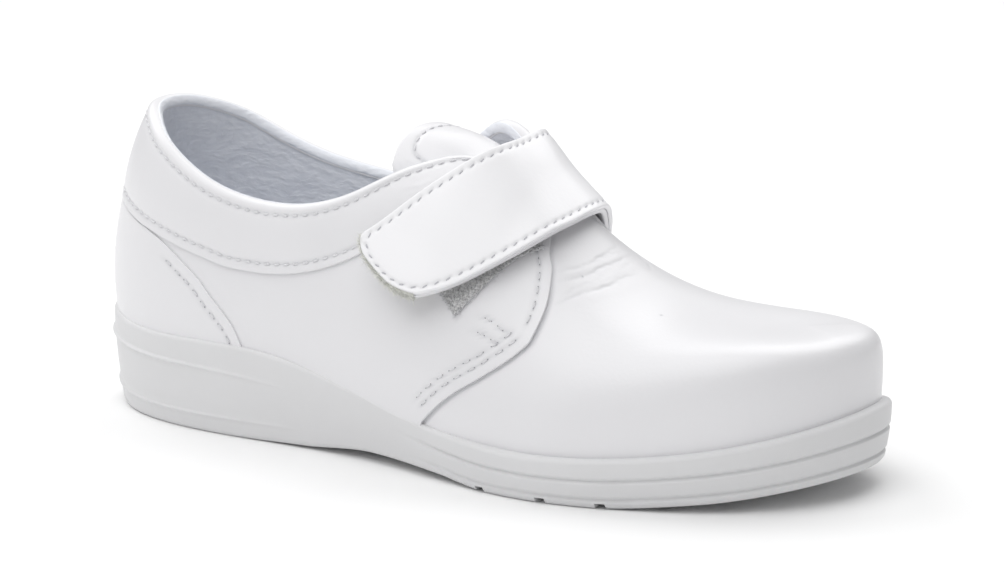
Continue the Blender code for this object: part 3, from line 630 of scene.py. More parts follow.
def last(turn, height):
    """Face of the last that the leather is stretched on: height is 0 at the sole and 1 at the top line."""
    turn, height = np.broadcast_arrays(np.asarray(turn, float), np.asarray(height, float))
    foot_x, foot_y, out_x, out_y = outline(turn, ledge_width(turn) + QUARTER_RAISE)
    foot = np.stack([foot_x, foot_y, rim_height(turn)], -1)
    top, drop, slope = crest(turn)
    along, wall, crown, lean = np.array(FULLNESS).T
    wall = ring_spline(along, wall, wall, turn)
    crown = ring_spline(along, crown, crown, turn)
    lean = ring_spline(along, lean, lean, turn)
    reach = np.linalg.norm(top - foot, axis=-1)
    away = unit(foot[..., :2] - top[..., :2])
    up = np.stack([lean * out_x, lean * out_y, np.ones_like(out_x)], -1)
    flat = np.cos(drop)
    fall = flat**2 * slope * away[..., 0] - np.sin(drop)
    down = unit(np.stack([flat * away[..., 0], flat * away[..., 1], fall], -1))
    low = foot + (wall * reach)[..., None] * up
    high = top + (crown * reach)[..., None] * down
    t = height[..., None]
    return foot * (1 - t) ** 3 + 3 * low * t * (1 - t) ** 2 + 3 * high * t * t * (1 - t) + top * t**3


def slopes(turn, height, step=1e-3):
    """Directions in the last's face per unit of turn and of height."""
    height = np.clip(height, step, 0.995)
    around = (last(turn + step, height) - last(turn - step, height)) / (2 * step)
    upwards = (last(turn, height + step) - last(turn, height - step)) / (2 * step)
    return around, upwards


def last_normal(turn, height):
    return unit(np.cross(*slopes(turn, height)))


def counter_turn(height):
    return through(column(COUNTER_SEAM, 0), turn_at(column(COUNTER_SEAM, 1)), height)


def quarter_turn(height):
    return through(column(QUARTER_EDGE, 0), turn_at(column(QUARTER_EDGE, 1)), height)


def band_height(turn):
    return through(turn_at(column(BAND_EDGE, 0)), column(BAND_EDGE, 1), mirrored(turn))


def moved(turn, height, distance, direction):
    """Place on the last that lies a distance off to the side of a path, given the path's places in order."""
    around, upwards = slopes(turn, height)
    tangent = np.gradient(turn)[:, None] * around + np.gradient(height)[:, None] * upwards
    normal = unit(np.cross(around, upwards))
    aside = unit(np.cross(normal, unit(tangent))) * distance * direction
    aa, ab, bb = (around**2).sum(-1), (around * upwards).sum(-1), (upwards**2).sum(-1)
    pa, pb = (aside * around).sum(-1), (aside * upwards).sum(-1)
    size = aa * bb - ab**2
    return turn + (pa * bb - pb * ab) / size, height + (pb * aa - pa * ab) / size


def run_along(points):
    """Length of a line of points up to each of them."""
    return np.concatenate([[0], np.cumsum(np.linalg.norm(np.diff(points, axis=0), axis=1))])


def path_on(turn, height, raised, spacing):
    """Evenly spaced points along a path on the last, raised off it, with tangents and normals."""
    turn, height = np.asarray(turn, float), np.asarray(height, float)
    points = last(turn, height) + raised * last_normal(turn, height)
    run = run_along(points)
    at = np.arange(spacing / 2, run[-1], spacing)
    turn, height = np.interp(at, run, turn), np.interp(at, run, height)
    normal = last_normal(turn, height)
    points = last(turn, height) + raised * normal
    return points, unit(np.gradient(points, axis=0)), normal


def nearest(points, places):
    """Which of the places is nearest to each point, worked out in parts to save memory."""
    chosen = np.empty(len(points), int)
    for start in range(0, len(points), 1000):
        part = points[start : start + 1000]
        chosen[start : start + 1000] = np.argmin((places**2).sum(1) - 2 * part @ places.T, axis=1)
    return chosen


def press(points, normals, places, depth, radius, fading=False):
    """Presses a soft groove into the points along the places; a negative depth raises a ridge."""
    flat = points.reshape(-1, 3)
    chosen = nearest(flat, places)
    amount = np.exp(-(((flat - places[chosen]) / radius) ** 2).sum(1))
    if fading:
        share = chosen / (len(places) - 1)
        amount *= np.clip(4 * np.minimum(share, 1 - share), 0, 1) * (0.75 + 0.25 * np.sin(23 * share))
    amount = amount.reshape(points.shape[:-1])
    return points - depth * amount[..., None] * normals, amount


def plate(name, grid, facing, thickness, painted_shade_and_specks=None, edge=0.00025, sharp=50):
    """Closed sheet from a grid of its seen face and the way that faces, with a rounded cut edge."""
    rows, cols = grid.shape[:2]
    index = np.arange(rows * cols).reshape(rows, cols)
    quads = np.stack([index[:-1, :-1], index[:-1, 1:], index[1:, 1:], index[1:, :-1]], -1).reshape(-1, 4)
    flat = grid.reshape(-1, 3)
    _, first, same = np.unique(
        np.round(flat / 2e-6).astype(np.int64), axis=0, return_index=True, return_inverse=True
    )
    same = same.reshape(-1)
    points = flat[first]
    shade = np.zeros(len(points)) if painted_shade_and_specks is None else painted_shade_and_specks.reshape(-1)[first]
    quads = same[quads]
    diagonal = np.cross(points[quads[:, 2]] - points[quads[:, 0]], points[quads[:, 3]] - points[quads[:, 1]])
    given = np.broadcast_to(facing, grid.shape).reshape(-1, 3)[first]
    if (diagonal * given[quads[:, 0]]).sum() < 0:
        quads = quads[:, ::-1]
        diagonal = -diagonal
    normal = np.zeros_like(points)
    for k in range(4):
        np.add.at(normal, quads[:, k], diagonal)
    normal = np.where(np.linalg.norm(given, axis=1)[:, None] > 0.5, given, unit(normal))
    faces = [tuple(dict.fromkeys(q)) for q in quads.tolist()]
    faces = [f for f in faces if len(f) > 2]
    edges = dict.fromkeys(pair for face in faces for pair in zip(face, face[1:] + face[:1]))
    follow = {a: b for a, b in edges if (b, a) not in edges}
    all_points, all_shade, total = [points], [shade], len(points)
    under = np.full(len(points), -1)
    built = list(faces)
    deep = thickness / edge
    profile = ((0.55, 0.12), (0.9, 0.4), (1.0, 0.75), (1.0, deep - 0.6), (0.5, deep - 0.1), (0.0, deep))
    while follow:
        start, following = follow.popitem()
        loop = [start]
        while following != start:
            loop.append(following)
            following = follow.pop(following)
        loop = np.array(loop)
        tangent = unit(np.roll(points[loop], -1, 0) - np.roll(points[loop], 1, 0))
        out = unit(np.cross(tangent, normal[loop]))
        ring = loop
        for reach, sunk in profile:
            all_points.append(points[loop] + edge * reach * out - edge * sunk * normal[loop])
            all_shade.append(shade[loop])
            following = np.arange(total, total + len(loop))
            built += strip(ring, following)
            ring, total = following, total + len(loop)
        under[loop] = ring
    inner = np.flatnonzero(under < 0)
    under[inner] = np.arange(total, total + len(inner))
    all_points.append(points[inner] - thickness * normal[inner])
    all_shade.append(shade[inner])
    built += [tuple(int(under[v]) for v in face[::-1]) for face in faces]
    piece = new_piece(name, np.concatenate(all_points), built, sharp)
    # Per point painted shade of creases, seam channels and stitch pits, and real specks, for the leather's
    # colour.
    painted_shade_and_speck = piece.data.attributes.new("painted_shade_and_speck", "FLOAT", "POINT")
    painted_shade_and_speck.data.foreach_set("value", np.concatenate(all_shade).astype(np.float32))
    return piece


def strip(ring, following):
    """Faces from one closed ring of points to the next."""
    quads = np.stack([ring, following, np.roll(following, -1), np.roll(ring, -1)], -1)
    return list(map(tuple, quads.tolist()))


def coated_leather(name, white):
    """Leather under a satin white coat: fine pores, a slow change of tone, greyer in painted shade of creases,
    seam channels and stitch pits and at a few specks.
    """
    made, wires, shader, place = new_material(name, IOR=1.48, Specular_IOR_Level=0.5, Coat_Roughness=0.25)
    painted_shade_and_speck = wires.node("Attribute", {"attribute_name": "painted_shade_and_speck"}, output=2)
    slow = noise(wires, place, 35, 3, 0.5)
    tone = blend(wires, slow, [v * 0.975 for v in white], white)
    # Painted shade: greyer where creases, seam channels and stitch pits are pressed; the specks are real.
    tone = blend(wires, painted_shade_and_speck * 0.8, tone, PAINTED_SHADE_AND_SPECK_GREY)
    cells = wires.node("TexVoronoi", {"feature": "SMOOTH_F1"}, {"Vector": place, "Scale": 900.0})
    creep = noise(wires, place, 420, 4, 0.6)
    height = cells * 0.5 + creep
    feed(
        wires,
        shader,
        Base_Color=tone,
        Roughness=slow * 0.1 + creep * 0.08 + LEATHER_GLOSS,
        Coat_Weight=0.25 - painted_shade_and_speck * 0.2,
        Normal=bump(wires, height, 0.00012, 0.35),
    )
    return made


leather = coated_leather("coated_leather", LEATHER_WHITE)

# Vamp
# One piece of white leather from under the quarter's front edge over the toe, the upper's largest piece.
# It is stretched smooth on the last and sewn under the quarter, and it creases across where the toes bend.
VAMP_UNDERLAP = 0.07
VAMP_WALL = 0.0012
EDGE_CHANNEL_OFFSET = -0.0005
EDGE_CHANNEL_DEPTH = 0.0004
CHANNEL_RADIUS = 0.0010
CREASE_PAINTED_SHADE = 0.6
SPECK_SIZE = 0.0004
SPECKS = (
    # along, height
    (0.679, 0.708),
    (0.776, 0.762),
)
CREASES = (
    # depth and radius in mm, then along and height by pairs; a height over 1 is 2 minus it on the inner side
    (0.22, 0.6, 0.648, 0.64, 0.655, 0.654, 0.669, 0.721, 0.677, 0.787, 0.681, 0.887, 0.682, 1, 0.672, 1.08),
    (0.26, 0.6, 0.653, 0.605, 0.662, 0.628, 0.671, 0.667, 0.683, 0.738, 0.689, 0.833, 0.695, 0.95, 0.692, 1.13),
    (0.32, 0.6, 0.664, 0.52, 0.671, 0.546, 0.681, 0.6, 0.695, 0.675, 0.707, 0.767, 0.711, 0.858, 0.719, 0.99),
    (0.22, 0.6, 0.691, 1.138, 0.697, 1.14, 0.703, 1.142, 0.713, 1.1, 0.719, 1.03),
    (0.15, 0.6, 0.668, 0.56, 0.674, 0.6, 0.681, 0.655, 0.69, 0.715, 0.697, 0.8),
    (0.14, 0.6, 0.676, 0.83, 0.684, 0.9, 0.686, 0.96, 0.69, 1.06),
    (0.12, 0.6, 0.7, 0.83, 0.703, 0.91, 0.702, 0.98, 0.706, 1.06),
    (-0.14, 1.3, 0.652, 0.64, 0.664, 0.675, 0.681, 0.779, 0.689, 0.9, 0.69, 1.02, 0.684, 1.12),
    (-0.16, 1.3, 0.66, 0.58, 0.672, 0.62, 0.687, 0.695, 0.699, 0.79, 0.704, 0.9, 0.708, 1.02, 0.7, 1.12),
    (-0.1, 1.6, 0.676, 0.52, 0.69, 0.59, 0.705, 0.68, 0.719, 0.78, 0.724, 0.88, 0.728, 0.99, 0.722, 1.1),
)


def crease_path(pairs, raised):
    """Smooth path on the last from a crease's places by pairs of along and height."""
    along, height = np.array(pairs[0::2]), np.array(pairs[1::2])
    at = np.linspace(0, len(along) - 1, 160)
    along = through(np.arange(len(along)), along, at) + 0.0009 * np.sin(9 * at) * np.sin(3.1 * at)
    height = through(np.arange(len(height)), height, at)
    inner = height > 1
    turn = np.where(inner, 2 * np.pi - turn_at(along), turn_at(along))
    height = np.where(inner, 2 - height, height)
    return last(turn, height) + raised * last_normal(turn, height)


def press_creases(points, normal, painted_shade_and_specks, creases, raised, shade):
    """Presses a table of creases into a panel and paints shade into their valleys."""
    for depth, radius, *pairs in creases:
        path = crease_path(pairs, raised)
        points, amount = press(points, normal, path, depth / 1000, radius / 1000, True)
        # Painted shade in each crease's valley.
        painted_shade_and_specks = np.maximum(painted_shade_and_specks, amount * max(depth, 0) * shade)
    return points, painted_shade_and_specks


def beside_edge(edge_turn, side, distance, low, high):
    """Places beside a panel's front edge; side is 1 on the outer side and -1 on the inner side."""
    height = np.linspace(low, high, 160)
    turn, height = moved(edge_turn(height), height, distance, 1)
    return side * turn, height


def up_and_over(rows):
    """Heights from the sole up the outer side, over the ridge and down the inner side, feet tucked in."""
    height = np.concatenate([rows, rows[-2::-1]])
    return np.where(height == 0, FOOT_SINK, height)


def over_ridge(height, start, share):
    """Grid over the ridge, from each row's start to the toe, where both sides' ways out are averaged."""
    turn = start[:, None] + (np.pi - start)[:, None] * share
    middle = len(height) // 2
    turn[middle + 1 :] = 2 * np.pi - turn[middle + 1 :]
    height = np.broadcast_to(height[:, None], turn.shape)
    normal = last_normal(turn, height)
    normal[middle] = unit(normal[middle] + last_normal(2 * np.pi - turn[middle], height[middle]))
    return last(turn, height), normal


def make_vamp():
    """Its rows lie closer near the ridge and its columns closer near the quarter, where the creases are."""
    height = up_and_over(through((0, 0.3, 1), (0, 0.48, 1), np.linspace(0, 1, 95)))
    share = through((0, 0.6, 1), (0, 0.28, 1), np.linspace(0, 1, 230))
    start = quarter_turn(np.clip(height, 0, 1)) - VAMP_UNDERLAP * np.sqrt(np.clip(1 - height, 0, 1))
    points, normal = over_ridge(height, start, share)
    painted_shade_and_specks = np.zeros(points.shape[:2])
    for side in (1, -1):
        channel = last(*beside_edge(quarter_turn, side, EDGE_CHANNEL_OFFSET, 0.0, 0.97))
        points, amount = press(points, normal, channel, EDGE_CHANNEL_DEPTH, CHANNEL_RADIUS)
        # Painted shade along the pressed channel beside the quarter's front edge.
        painted_shade_and_specks = np.maximum(painted_shade_and_specks, 0.22 * amount)
    for along, high in SPECKS:
        spot = np.repeat(last(turn_at(along), high)[None], 2, axis=0)
        painted_shade_and_specks = np.maximum(painted_shade_and_specks, press(points, normal, spot, 0, SPECK_SIZE)[1])
    points, painted_shade_and_specks = press_creases(points, normal, painted_shade_and_specks, CREASES, 0.0, CREASE_PAINTED_SHADE)
    return plate("vamp", points, normal, VAMP_WALL, painted_shade_and_specks)


vamp = make_vamp()
dress(vamp, leather, "upper")

# Quarter
# One sheet of the same leather round the heel, from the front edge on the outer side to the inner side's.
# It is sewn over the vamp by rows of stitches along its edge and across it, and runs under the collar band.
QUARTER_UNDERLAP = 0.10
ROW_STEP = 0.0004
SEAM_INSET = 0.0032
SEAM_ROWS = 0.0028
EDGE_ROWS = (
    # in from the edge, from height, to height
    (SEAM_INSET, 0.03, 0.36),
    (SEAM_INSET + SEAM_ROWS, 0.03, 0.34),
    (SEAM_INSET, 0.40, 0.78),
)
CROSS_ROWS = (
    # from along, to along, from height, to height
    (0.588, 0.633, 0.385, 0.347),
    (0.5835, 0.6285, 0.340, 0.302),
)
QUARTER_PITCH = 0.005
QUARTER_PIT = 0.0026
QUARTER_PIT_DEPTH = 0.00025
PIT_DEPTH = 0.0003
PIT_RADIUS = 0.00055
ROW_CHANNEL_RADIUS = 0.0009
NEAR_EDGE = (0, 0.0012, 0.0022, 0.0027, 0.0032, 0.0037, 0.0043, 0.005, 0.0055, 0.006, 0.0065, 0.0072, 0.009)


def panel_columns(edge, steps, near_edge=NEAR_EDGE):
    """Signed turns of a panel's columns from its outer edge round the heel to its inner edge."""
    near = edge - np.array(near_edge)[:, None] / (LENGTH / 2)
    turns = np.concatenate([near, near[-1] * (1 - np.arange(1, steps + 1)[:, None] / steps)])
    return np.concatenate([turns, -turns[-2::-1]])


def dashes(points, tangents, pitch, length):
    """Middles of the stitches along evenly spaced points, with close places along each of them."""
    run = run_along(points)
    at = np.arange(pitch / 2, run[-1] - length / 2, pitch)
    chosen = np.searchsorted(run, at)
    offsets = np.linspace(-0.5, 0.5, 7) * length
    places = points[chosen][:, None] + offsets[:, None] * tangents[chosen][:, None]
    return chosen, places.reshape(-1, 3)


def sew_into(points, normal, painted_shade_and_specks, row, raised, pitch, length, depth=PIT_DEPTH, shade=0.35):
    """Presses a row's channel and its sunk stitches into a panel, paints shade into them, and gives back what
    the thread needs.
    """
    line, tangent, out = path_on(*row, raised, ROW_STEP)
    chosen, places = dashes(line, tangent, pitch, length)
    points, channel = press(points, normal, line, 0.4 * depth, ROW_CHANNEL_RADIUS)
    points, pits = press(points, normal, places, depth, PIT_RADIUS)
    # Painted shade in the row's channel and its stitch pits.
    painted_shade_and_specks = np.maximum(painted_shade_and_specks, np.maximum(0.25 * shade * channel, shade * pits))
    thread = (line[chosen] - 0.6 * depth * out[chosen], tangent[chosen], out[chosen])
    return points, painted_shade_and_specks, thread


def round_heel(edge_turn, rows, steps, guess, past_band, raised):
    """Grid of a panel from its outer front edge round the heel to the inner one, up to the band's edge."""
    shares = np.linspace(0, 1, rows)
    turn = panel_columns(edge_turn(shares * guess), steps).T
    for _ in range(6):
        height = np.minimum(shares[:, None] * (band_height(turn) + past_band), 1)
        turn = panel_columns(edge_turn(height[:, 0]), steps).T
    height[0] = FOOT_SINK
    normal = last_normal(turn, height)
    return last(turn, height) + raised * normal, normal, np.zeros(turn.shape)


def make_quarter():
    """The quarter with two rows along each front edge, one above them, and two short rows across."""
    points, normal, painted_shade_and_specks = round_heel(quarter_turn, 96, 120, 0.6, QUARTER_UNDERLAP, QUARTER_RAISE)
    stitches = (QUARTER_RAISE, QUARTER_PITCH, QUARTER_PIT, QUARTER_PIT_DEPTH)
    for side in (1, -1):
        rows = [beside_edge(quarter_turn, side, *row) for row in EDGE_ROWS]
        for start, end, high, low in CROSS_ROWS:
            rows.append((side * turn_at(np.linspace(start, end, 60)), np.linspace(high, low, 60)))
        for row in rows:
            points, painted_shade_and_specks, thread = sew_into(points, normal, painted_shade_and_specks, row, *stitches)
            seam_threads.append(thread)
    return plate("quarter", points, normal, QUARTER_RAISE - SEAM_GAP, painted_shade_and_specks)


seam_threads = []
quarter = make_quarter()
dress(quarter, leather, "upper")

# Heel counter
# A second layer of the leather with a stiffener behind it, round the back of the heel.
# It laps over the quarter, is stitched along its curved front edge, and ends just below the collar band.
COUNTER_PITCH = 0.0046
COUNTER_PIT = 0.0022
COUNTER_INSET = 0.0035
COUNTER_GAP = 0.004


def make_counter():
    """The heel's outermost layer, with one stitch row on each side."""
    raised = QUARTER_RAISE + COUNTER_RAISE
    points, normal, painted_shade_and_specks = round_heel(counter_turn, 90, 60, 0.52, -COUNTER_GAP, raised)
    for side in (1, -1):
        row = beside_edge(counter_turn, side, COUNTER_INSET, 0.02, 0.49)
        points, painted_shade_and_specks, thread = sew_into(points, normal, painted_shade_and_specks, row, raised, COUNTER_PITCH, COUNTER_PIT)
        seam_threads.append(thread)
    return plate("heel_counter", points, normal, COUNTER_RAISE - SEAM_GAP, painted_shade_and_specks)


counter = make_counter()
dress(counter, leather, "upper")

# Collar band
# A strip of thin soft leather over foam, sewn round the top line from one end of the throat to the other.
# One row of stitches holds its lower edge, and a second runs below the top line, where it turns inside.
BAND_PITCH = 0.0036
BAND_STITCH = 0.0028
BAND_PIT_DEPTH = 0.00034
BAND_ROW_SHORT_OF_END = 0.012
BAND_FULL_WIDTH = 0.022
BAND_STAND = QUARTER_RAISE + BAND_RAISE
ROLL_RADIUS = (BAND_STAND + UPPER_WALL) / 2
BAND_DASH = 0.0023
BAND_PUFF = 0.0007
COLLAR_STITCH = 0.0034
TURN_IN = 0.0006
BAND_END = 0.606
BAND_NEAR_END = (0, 0.001, 0.002)
LOW_MARKS = (0, 0.0006, 0.0014, 0.0021, 0.0025, 0.0028, 0.0031, 0.0035, 0.0042, 0.0055)
HIGH_MARKS = (0.0085, 0.0068, 0.0056, 0.0049, 0.0044, 0.0041, 0.0038, 0.0035, 0.0032, 0.0028)
BAND_CREASES = (
    # as for the vamp: soft crinkles behind the strap, where the leather folds when the foot goes in
    (0.24, 0.7, 0.462, 0.93, 0.47, 0.925, 0.48, 0.905, 0.49, 0.895, 0.502, 0.9),
    (0.2, 0.6, 0.468, 0.89, 0.48, 0.87, 0.492, 0.862, 0.506, 0.87, 0.516, 0.885),
    (0.18, 0.6, 0.474, 0.85, 0.486, 0.835, 0.5, 0.832, 0.512, 0.845),
    (-0.16, 1.1, 0.464, 0.908, 0.476, 0.893, 0.49, 0.878, 0.504, 0.885),
)


def band_sizes(turn):
    """Height of the band's lower edge, the band's width and, where it narrows, its share of the full one."""
    base = band_height(turn)
    width = np.linalg.norm(last(turn, 1.0) - last(turn, base), axis=-1)
    return base, width, np.minimum(1, width / BAND_FULL_WIDTH)


def collar_roll(turn, angles, beyond):
    """Rows of the rounding over the top line, from the outer face at 0 to the inner face at a half turn."""
    base, width, _ = band_sizes(turn)
    top = 1 - ROLL_RADIUS / width * (1 - base)
    normal = last_normal(turn, top)
    outer = last(turn, top) + BAND_STAND * normal
    upwards = unit(np.cross(unit(np.gradient(outer, axis=0)), normal))
    upwards *= np.sign(upwards[:, 2:3])
    middle = outer - ROLL_RADIUS * normal
    reach = ROLL_RADIUS + beyond
    return [middle + reach * (math.cos(angle) * normal + math.sin(angle) * upwards) for angle in angles]


def make_band():
    """The band from its lower edge, puffed between its two stitch rows, and rolled over the top line."""
    shares = np.linspace(0, 1, 14)[1:-1]
    rows = len(LOW_MARKS) + len(shares) + len(HIGH_MARKS)
    height = np.tile(np.linspace(0.75, 1, rows)[:, None], (1, 3))
    limit = turn_at(BAND_END)
    turn = panel_columns(np.minimum(quarter_turn(height[:, 0]), limit), 260, BAND_NEAR_END).T
    for _ in range(6):
        base, width, fit = band_sizes(turn[0])
        top = 1 - ROLL_RADIUS / width * (1 - base)
        low = base + np.array(LOW_MARKS)[:, None] * fit / width * (1 - base)
        high = top - (np.array(HIGH_MARKS)[:, None] - ROLL_RADIUS) * fit / width * (1 - base)
        middle = low[-1] + (high[0] - low[-1]) * shares[:, None]
        height = np.concatenate([low, middle, high[:-1], top[None]])
        turn = panel_columns(np.minimum(quarter_turn(height[:, 0]), limit), 260, BAND_NEAR_END).T
    normal = last_normal(turn, height)
    between = (height - low[6]) / (high[4] - low[6])
    puff = BAND_PUFF * np.sin(np.pi * np.clip(between, 0, 1)) ** 0.7 * fit**2
    points = last(turn, height) + (BAND_STAND + puff)[..., None] * normal
    points, painted_shade_and_specks = press_creases(points, normal, np.zeros(turn.shape), BAND_CREASES, BAND_STAND, 0.0)
    stitches = (BAND_STAND, BAND_PITCH, BAND_DASH, BAND_PIT_DEPTH)
    for row in (band_row(BAND_STITCH, False), band_row(COLLAR_STITCH, True)):
        points, painted_shade_and_specks, thread = sew_into(points, normal, painted_shade_and_specks, row, *stitches)
        band_threads.append(thread)
    rolled = collar_roll(turn[-1], np.linspace(0, np.pi, 15)[1:], 0)
    for sunk in np.linspace(0, TURN_IN, 4)[1:]:
        down = height[-1] - sunk * fit / width * (1 - base)
        rolled.append(last(turn[-1], down) - (UPPER_WALL + 0.0001) * last_normal(turn[-1], down))
    points = np.concatenate([points, rolled])
    facing = np.concatenate([normal, np.zeros((len(rolled), *normal.shape[1:]))])
    painted_shade_and_specks = np.concatenate([painted_shade_and_specks, np.zeros((len(rolled), painted_shade_and_specks.shape[1]))])
    return plate("collar_band", points, facing, BAND_RAISE - SEAM_GAP, painted_shade_and_specks)


def band_row(distance, from_top):
    """Places of a stitch row at a distance above the band's lower edge, or below its top line."""
    limit = turn_at(BAND_END) - BAND_ROW_SHORT_OF_END
    turn = np.linspace(limit, -limit, 900)
    base, width, fit = band_sizes(turn)
    share = fit * distance / width * (1 - base)
    return turn, (1 - share if from_top else base + share)


band_threads = []
band = make_band()
dress(band, leather, "upper")

# Stitches
# Bonded white sewing thread, lock-stitched by machine through both layers of leather.
# Each stitch is a short bowed length whose ends go down their needle holes. The collar's thread is thicker.
THREAD_WIDTH = 0.00062
THICK_THREAD_WIDTH = 0.0008
THREAD_SIDES = 6
THREAD_BOW = 0.00035
SEAM_DASH = 0.0021
HOLE_SPAN = 0.0023
HOLE_WIDTH = 0.00042
HOLE_SIDES = 8
HOLE_LIFT = 0.00024
HOLE_RIM = 0.00004
HOLE_DEPTH = 0.0003


def twisted_thread(name, low, high):
    """Bonded thread, its twist showing as fine slanting bands."""
    made, wires, shader, place = new_material(name, Specular_IOR_Level=0.3)
    twist = wires.node("TexWave", {"bands_direction": "DIAGONAL"}, {"Vector": place, "Scale": 900.0})
    tone = blend(wires, twist, low, high)
    relief = bump(wires, twist, 0.00008, 0.5)
    feed(wires, shader, Base_Color=tone, Roughness=twist * 0.1 + 0.5, Normal=relief)
    return made


def stem_faces(joints, sides):
    """Faces of one closed stem made of rings of points."""
    rings = np.arange(joints * sides).reshape(joints, sides)
    after = np.roll(rings, -1, 1)
    quads = np.stack([rings[:-1], after[:-1], after[1:], rings[1:]], -1).reshape(-1, 4)
    return [*map(tuple, quads.tolist()), tuple(rings[0, ::-1].tolist()), tuple(rings[-1].tolist())]


def repeat(faces, step, count):
    """The faces again for each of so many like bodies, whose points follow each other."""
    return [tuple(v + n * step for v in face) for n in range(count) for face in faces]


def sew(name, threads, length, width=THREAD_WIDTH):
    """All the stitches of some rows as one piece."""
    middle, tangent, out = (np.concatenate(part) for part in zip(*threads))
    across = unit(np.cross(out, tangent))
    t = np.linspace(-1, 1, 8)
    round_off = np.sqrt(np.clip(1 - t**4, 0.02, 1))
    sides = THREAD_SIDES
    angle = np.arange(sides) * math.tau / sides
    drop = -THREAD_BOW * t**4
    size = width / 2 * round_off[:, None]
    lengthwise = (t * length / 2)[:, None] + 0 * angle
    sideways = size * np.cos(angle)
    height = size * np.sin(angle) + drop[:, None]
    body = (
        middle[:, None, None]
        + lengthwise[..., None] * tangent[:, None, None]
        + sideways[..., None] * across[:, None, None]
        + height[..., None] * out[:, None, None]
    )
    faces = repeat(stem_faces(len(t), sides), len(t) * sides, len(middle))
    return new_piece(name, body.reshape(-1, 3), faces)


def needle_holes(name, threads, length, width):
    """Dimples coloured dark as painted shadow, where each stitch goes in at both of its ends."""
    middle, tangent, out = (np.concatenate(part) for part in zip(*threads))
    middle = np.concatenate([middle + 0.5 * length * tangent, middle - 0.5 * length * tangent])
    tangent, out = np.tile(tangent, (2, 1)), np.tile(out, (2, 1))
    across = unit(np.cross(out, tangent))
    sides = HOLE_SIDES
    angle = np.arange(sides) * math.tau / sides
    ring = np.cos(angle)[:, None] * tangent[:, None] + 0.8 * np.sin(angle)[:, None] * across[:, None]
    top, out = (middle + HOLE_LIFT * out)[:, None], out[:, None]
    body = np.concatenate([top, top - HOLE_RIM * out + width / 2 * ring, top - HOLE_DEPTH * out], 1)
    faces = [(0, k + 1, (k + 1) % sides + 1) for k in range(sides)]
    faces += [(sides + 1, (k + 1) % sides + 1, k + 1) for k in range(sides)]
    return new_piece(name, body.reshape(-1, 3), repeat(faces, sides + 2, len(middle)))


def hole_shadow():
    """Painted shadow for the inside of a needle hole: dark and a little mottled."""
    made, wires, shader, place = new_material("needle_hole_painted_shadow", Specular_IOR_Level=0.1)
    shadow_mottle = noise(wires, place, 700, 2, 0.5)
    tone = blend(wires, shadow_mottle, (0.16, 0.16, 0.18), (0.40, 0.40, 0.43))
    feed(wires, shader, Base_Color=tone, Roughness=shadow_mottle * 0.1 + 0.8)
    return made


thread = twisted_thread("white_thread", (0.70, 0.70, 0.72), (0.84, 0.84, 0.86))
dress(sew("seam_stitches", seam_threads, SEAM_DASH), thread, None)
# Dark dimples of painted shadow at the needle holes.
dress(needle_holes("seam_needle_holes", seam_threads, HOLE_SPAN, HOLE_WIDTH), hole_shadow(), None)
dress(sew("collar_stitches", band_threads, BAND_DASH, THICK_THREAD_WIDTH), thread, None)

# Lining
# Glove-soft leather of a pale grey blue, crinkled in small cushions, inside collar, quarters and toe.
# It is glued to the wall and turned up over the rim, where its edge meets the collar band's.
LINING_WALL = 0.001
LINING_SINK = 0.0003
LINING_BLUE = (0.90, 0.915, 0.955)
LINING_SHADE = (0.81, 0.83, 0.885)


def lining_leather():
    """Glove-soft lining: crinkled in low lying-down cushions a few millimetres long, matt."""
    made, wires, shader, place = new_material("lining_leather", Specular_IOR_Level=0.25)
    drift = wires.node("TexNoise", None, {"Vector": place, "Scale": 120.0, "Detail": 3.0}, 1)
    pulled = wires.node("VectorMath", {"operation": "SCALE"}, {0: drift, "Scale": 0.004})
    bent = wires.node("VectorMath", {"operation": "ADD"}, {0: place, 1: pulled})
    flattened = wires.node("VectorMath", {"operation": "MULTIPLY"}, {0: bent, 1: (0.42, 0.42, 1.0)})
    cushions = wires.node("TexVoronoi", {"feature": "SMOOTH_F1"}, {"Vector": flattened, "Scale": 900.0})
    swell = noise(wires, flattened, 420, 4, 0.6)
    fine = noise(wires, place, 1100, 3, 0.6)
    height = swell - cushions * 0.6 + fine * 0.08
    tone = blend(wires, swell * 1.4 - 0.2, LINING_SHADE, LINING_BLUE)
    relief = bump(wires, height, 0.0006, 0.6)
    feed(wires, shader, Base_Color=tone, Roughness=fine * 0.15 + 0.55, Normal=relief)
    return made


def make_quarter_lining():
    """The lining of the quarters, swaying a little, with its rolled edge at the collar."""
    limit = turn_at(THROAT_END + 0.004)
    turn = np.linspace(limit, -limit, 230)
    base, width, fit = band_sizes(turn)
    top = 1 - BAND_STITCH * fit / width * (1 - base)
    share = np.linspace(1, 0, 60)[:, None]
    height = share * top + (1 - share) * FOOT_SINK
    turn = np.broadcast_to(turn, height.shape)
    normal = last_normal(turn, height)
    sway = np.sin(turn * 61 + 5 * np.sin(height * 17)) * np.sin(height * 43 + 4 * np.sin(turn * 13))
    inwards = UPPER_WALL - LINING_SINK + 0.0002 * sway
    points = last(turn, height) - inwards[..., None] * normal
    rolled = np.array(collar_roll(turn[0], np.radians(np.linspace(112, 176, 9)), LINING_SINK))
    points = np.concatenate([rolled, points])
    facing = np.concatenate([np.zeros_like(rolled), -normal])
    return plate("quarter_lining", points, facing, LINING_WALL)


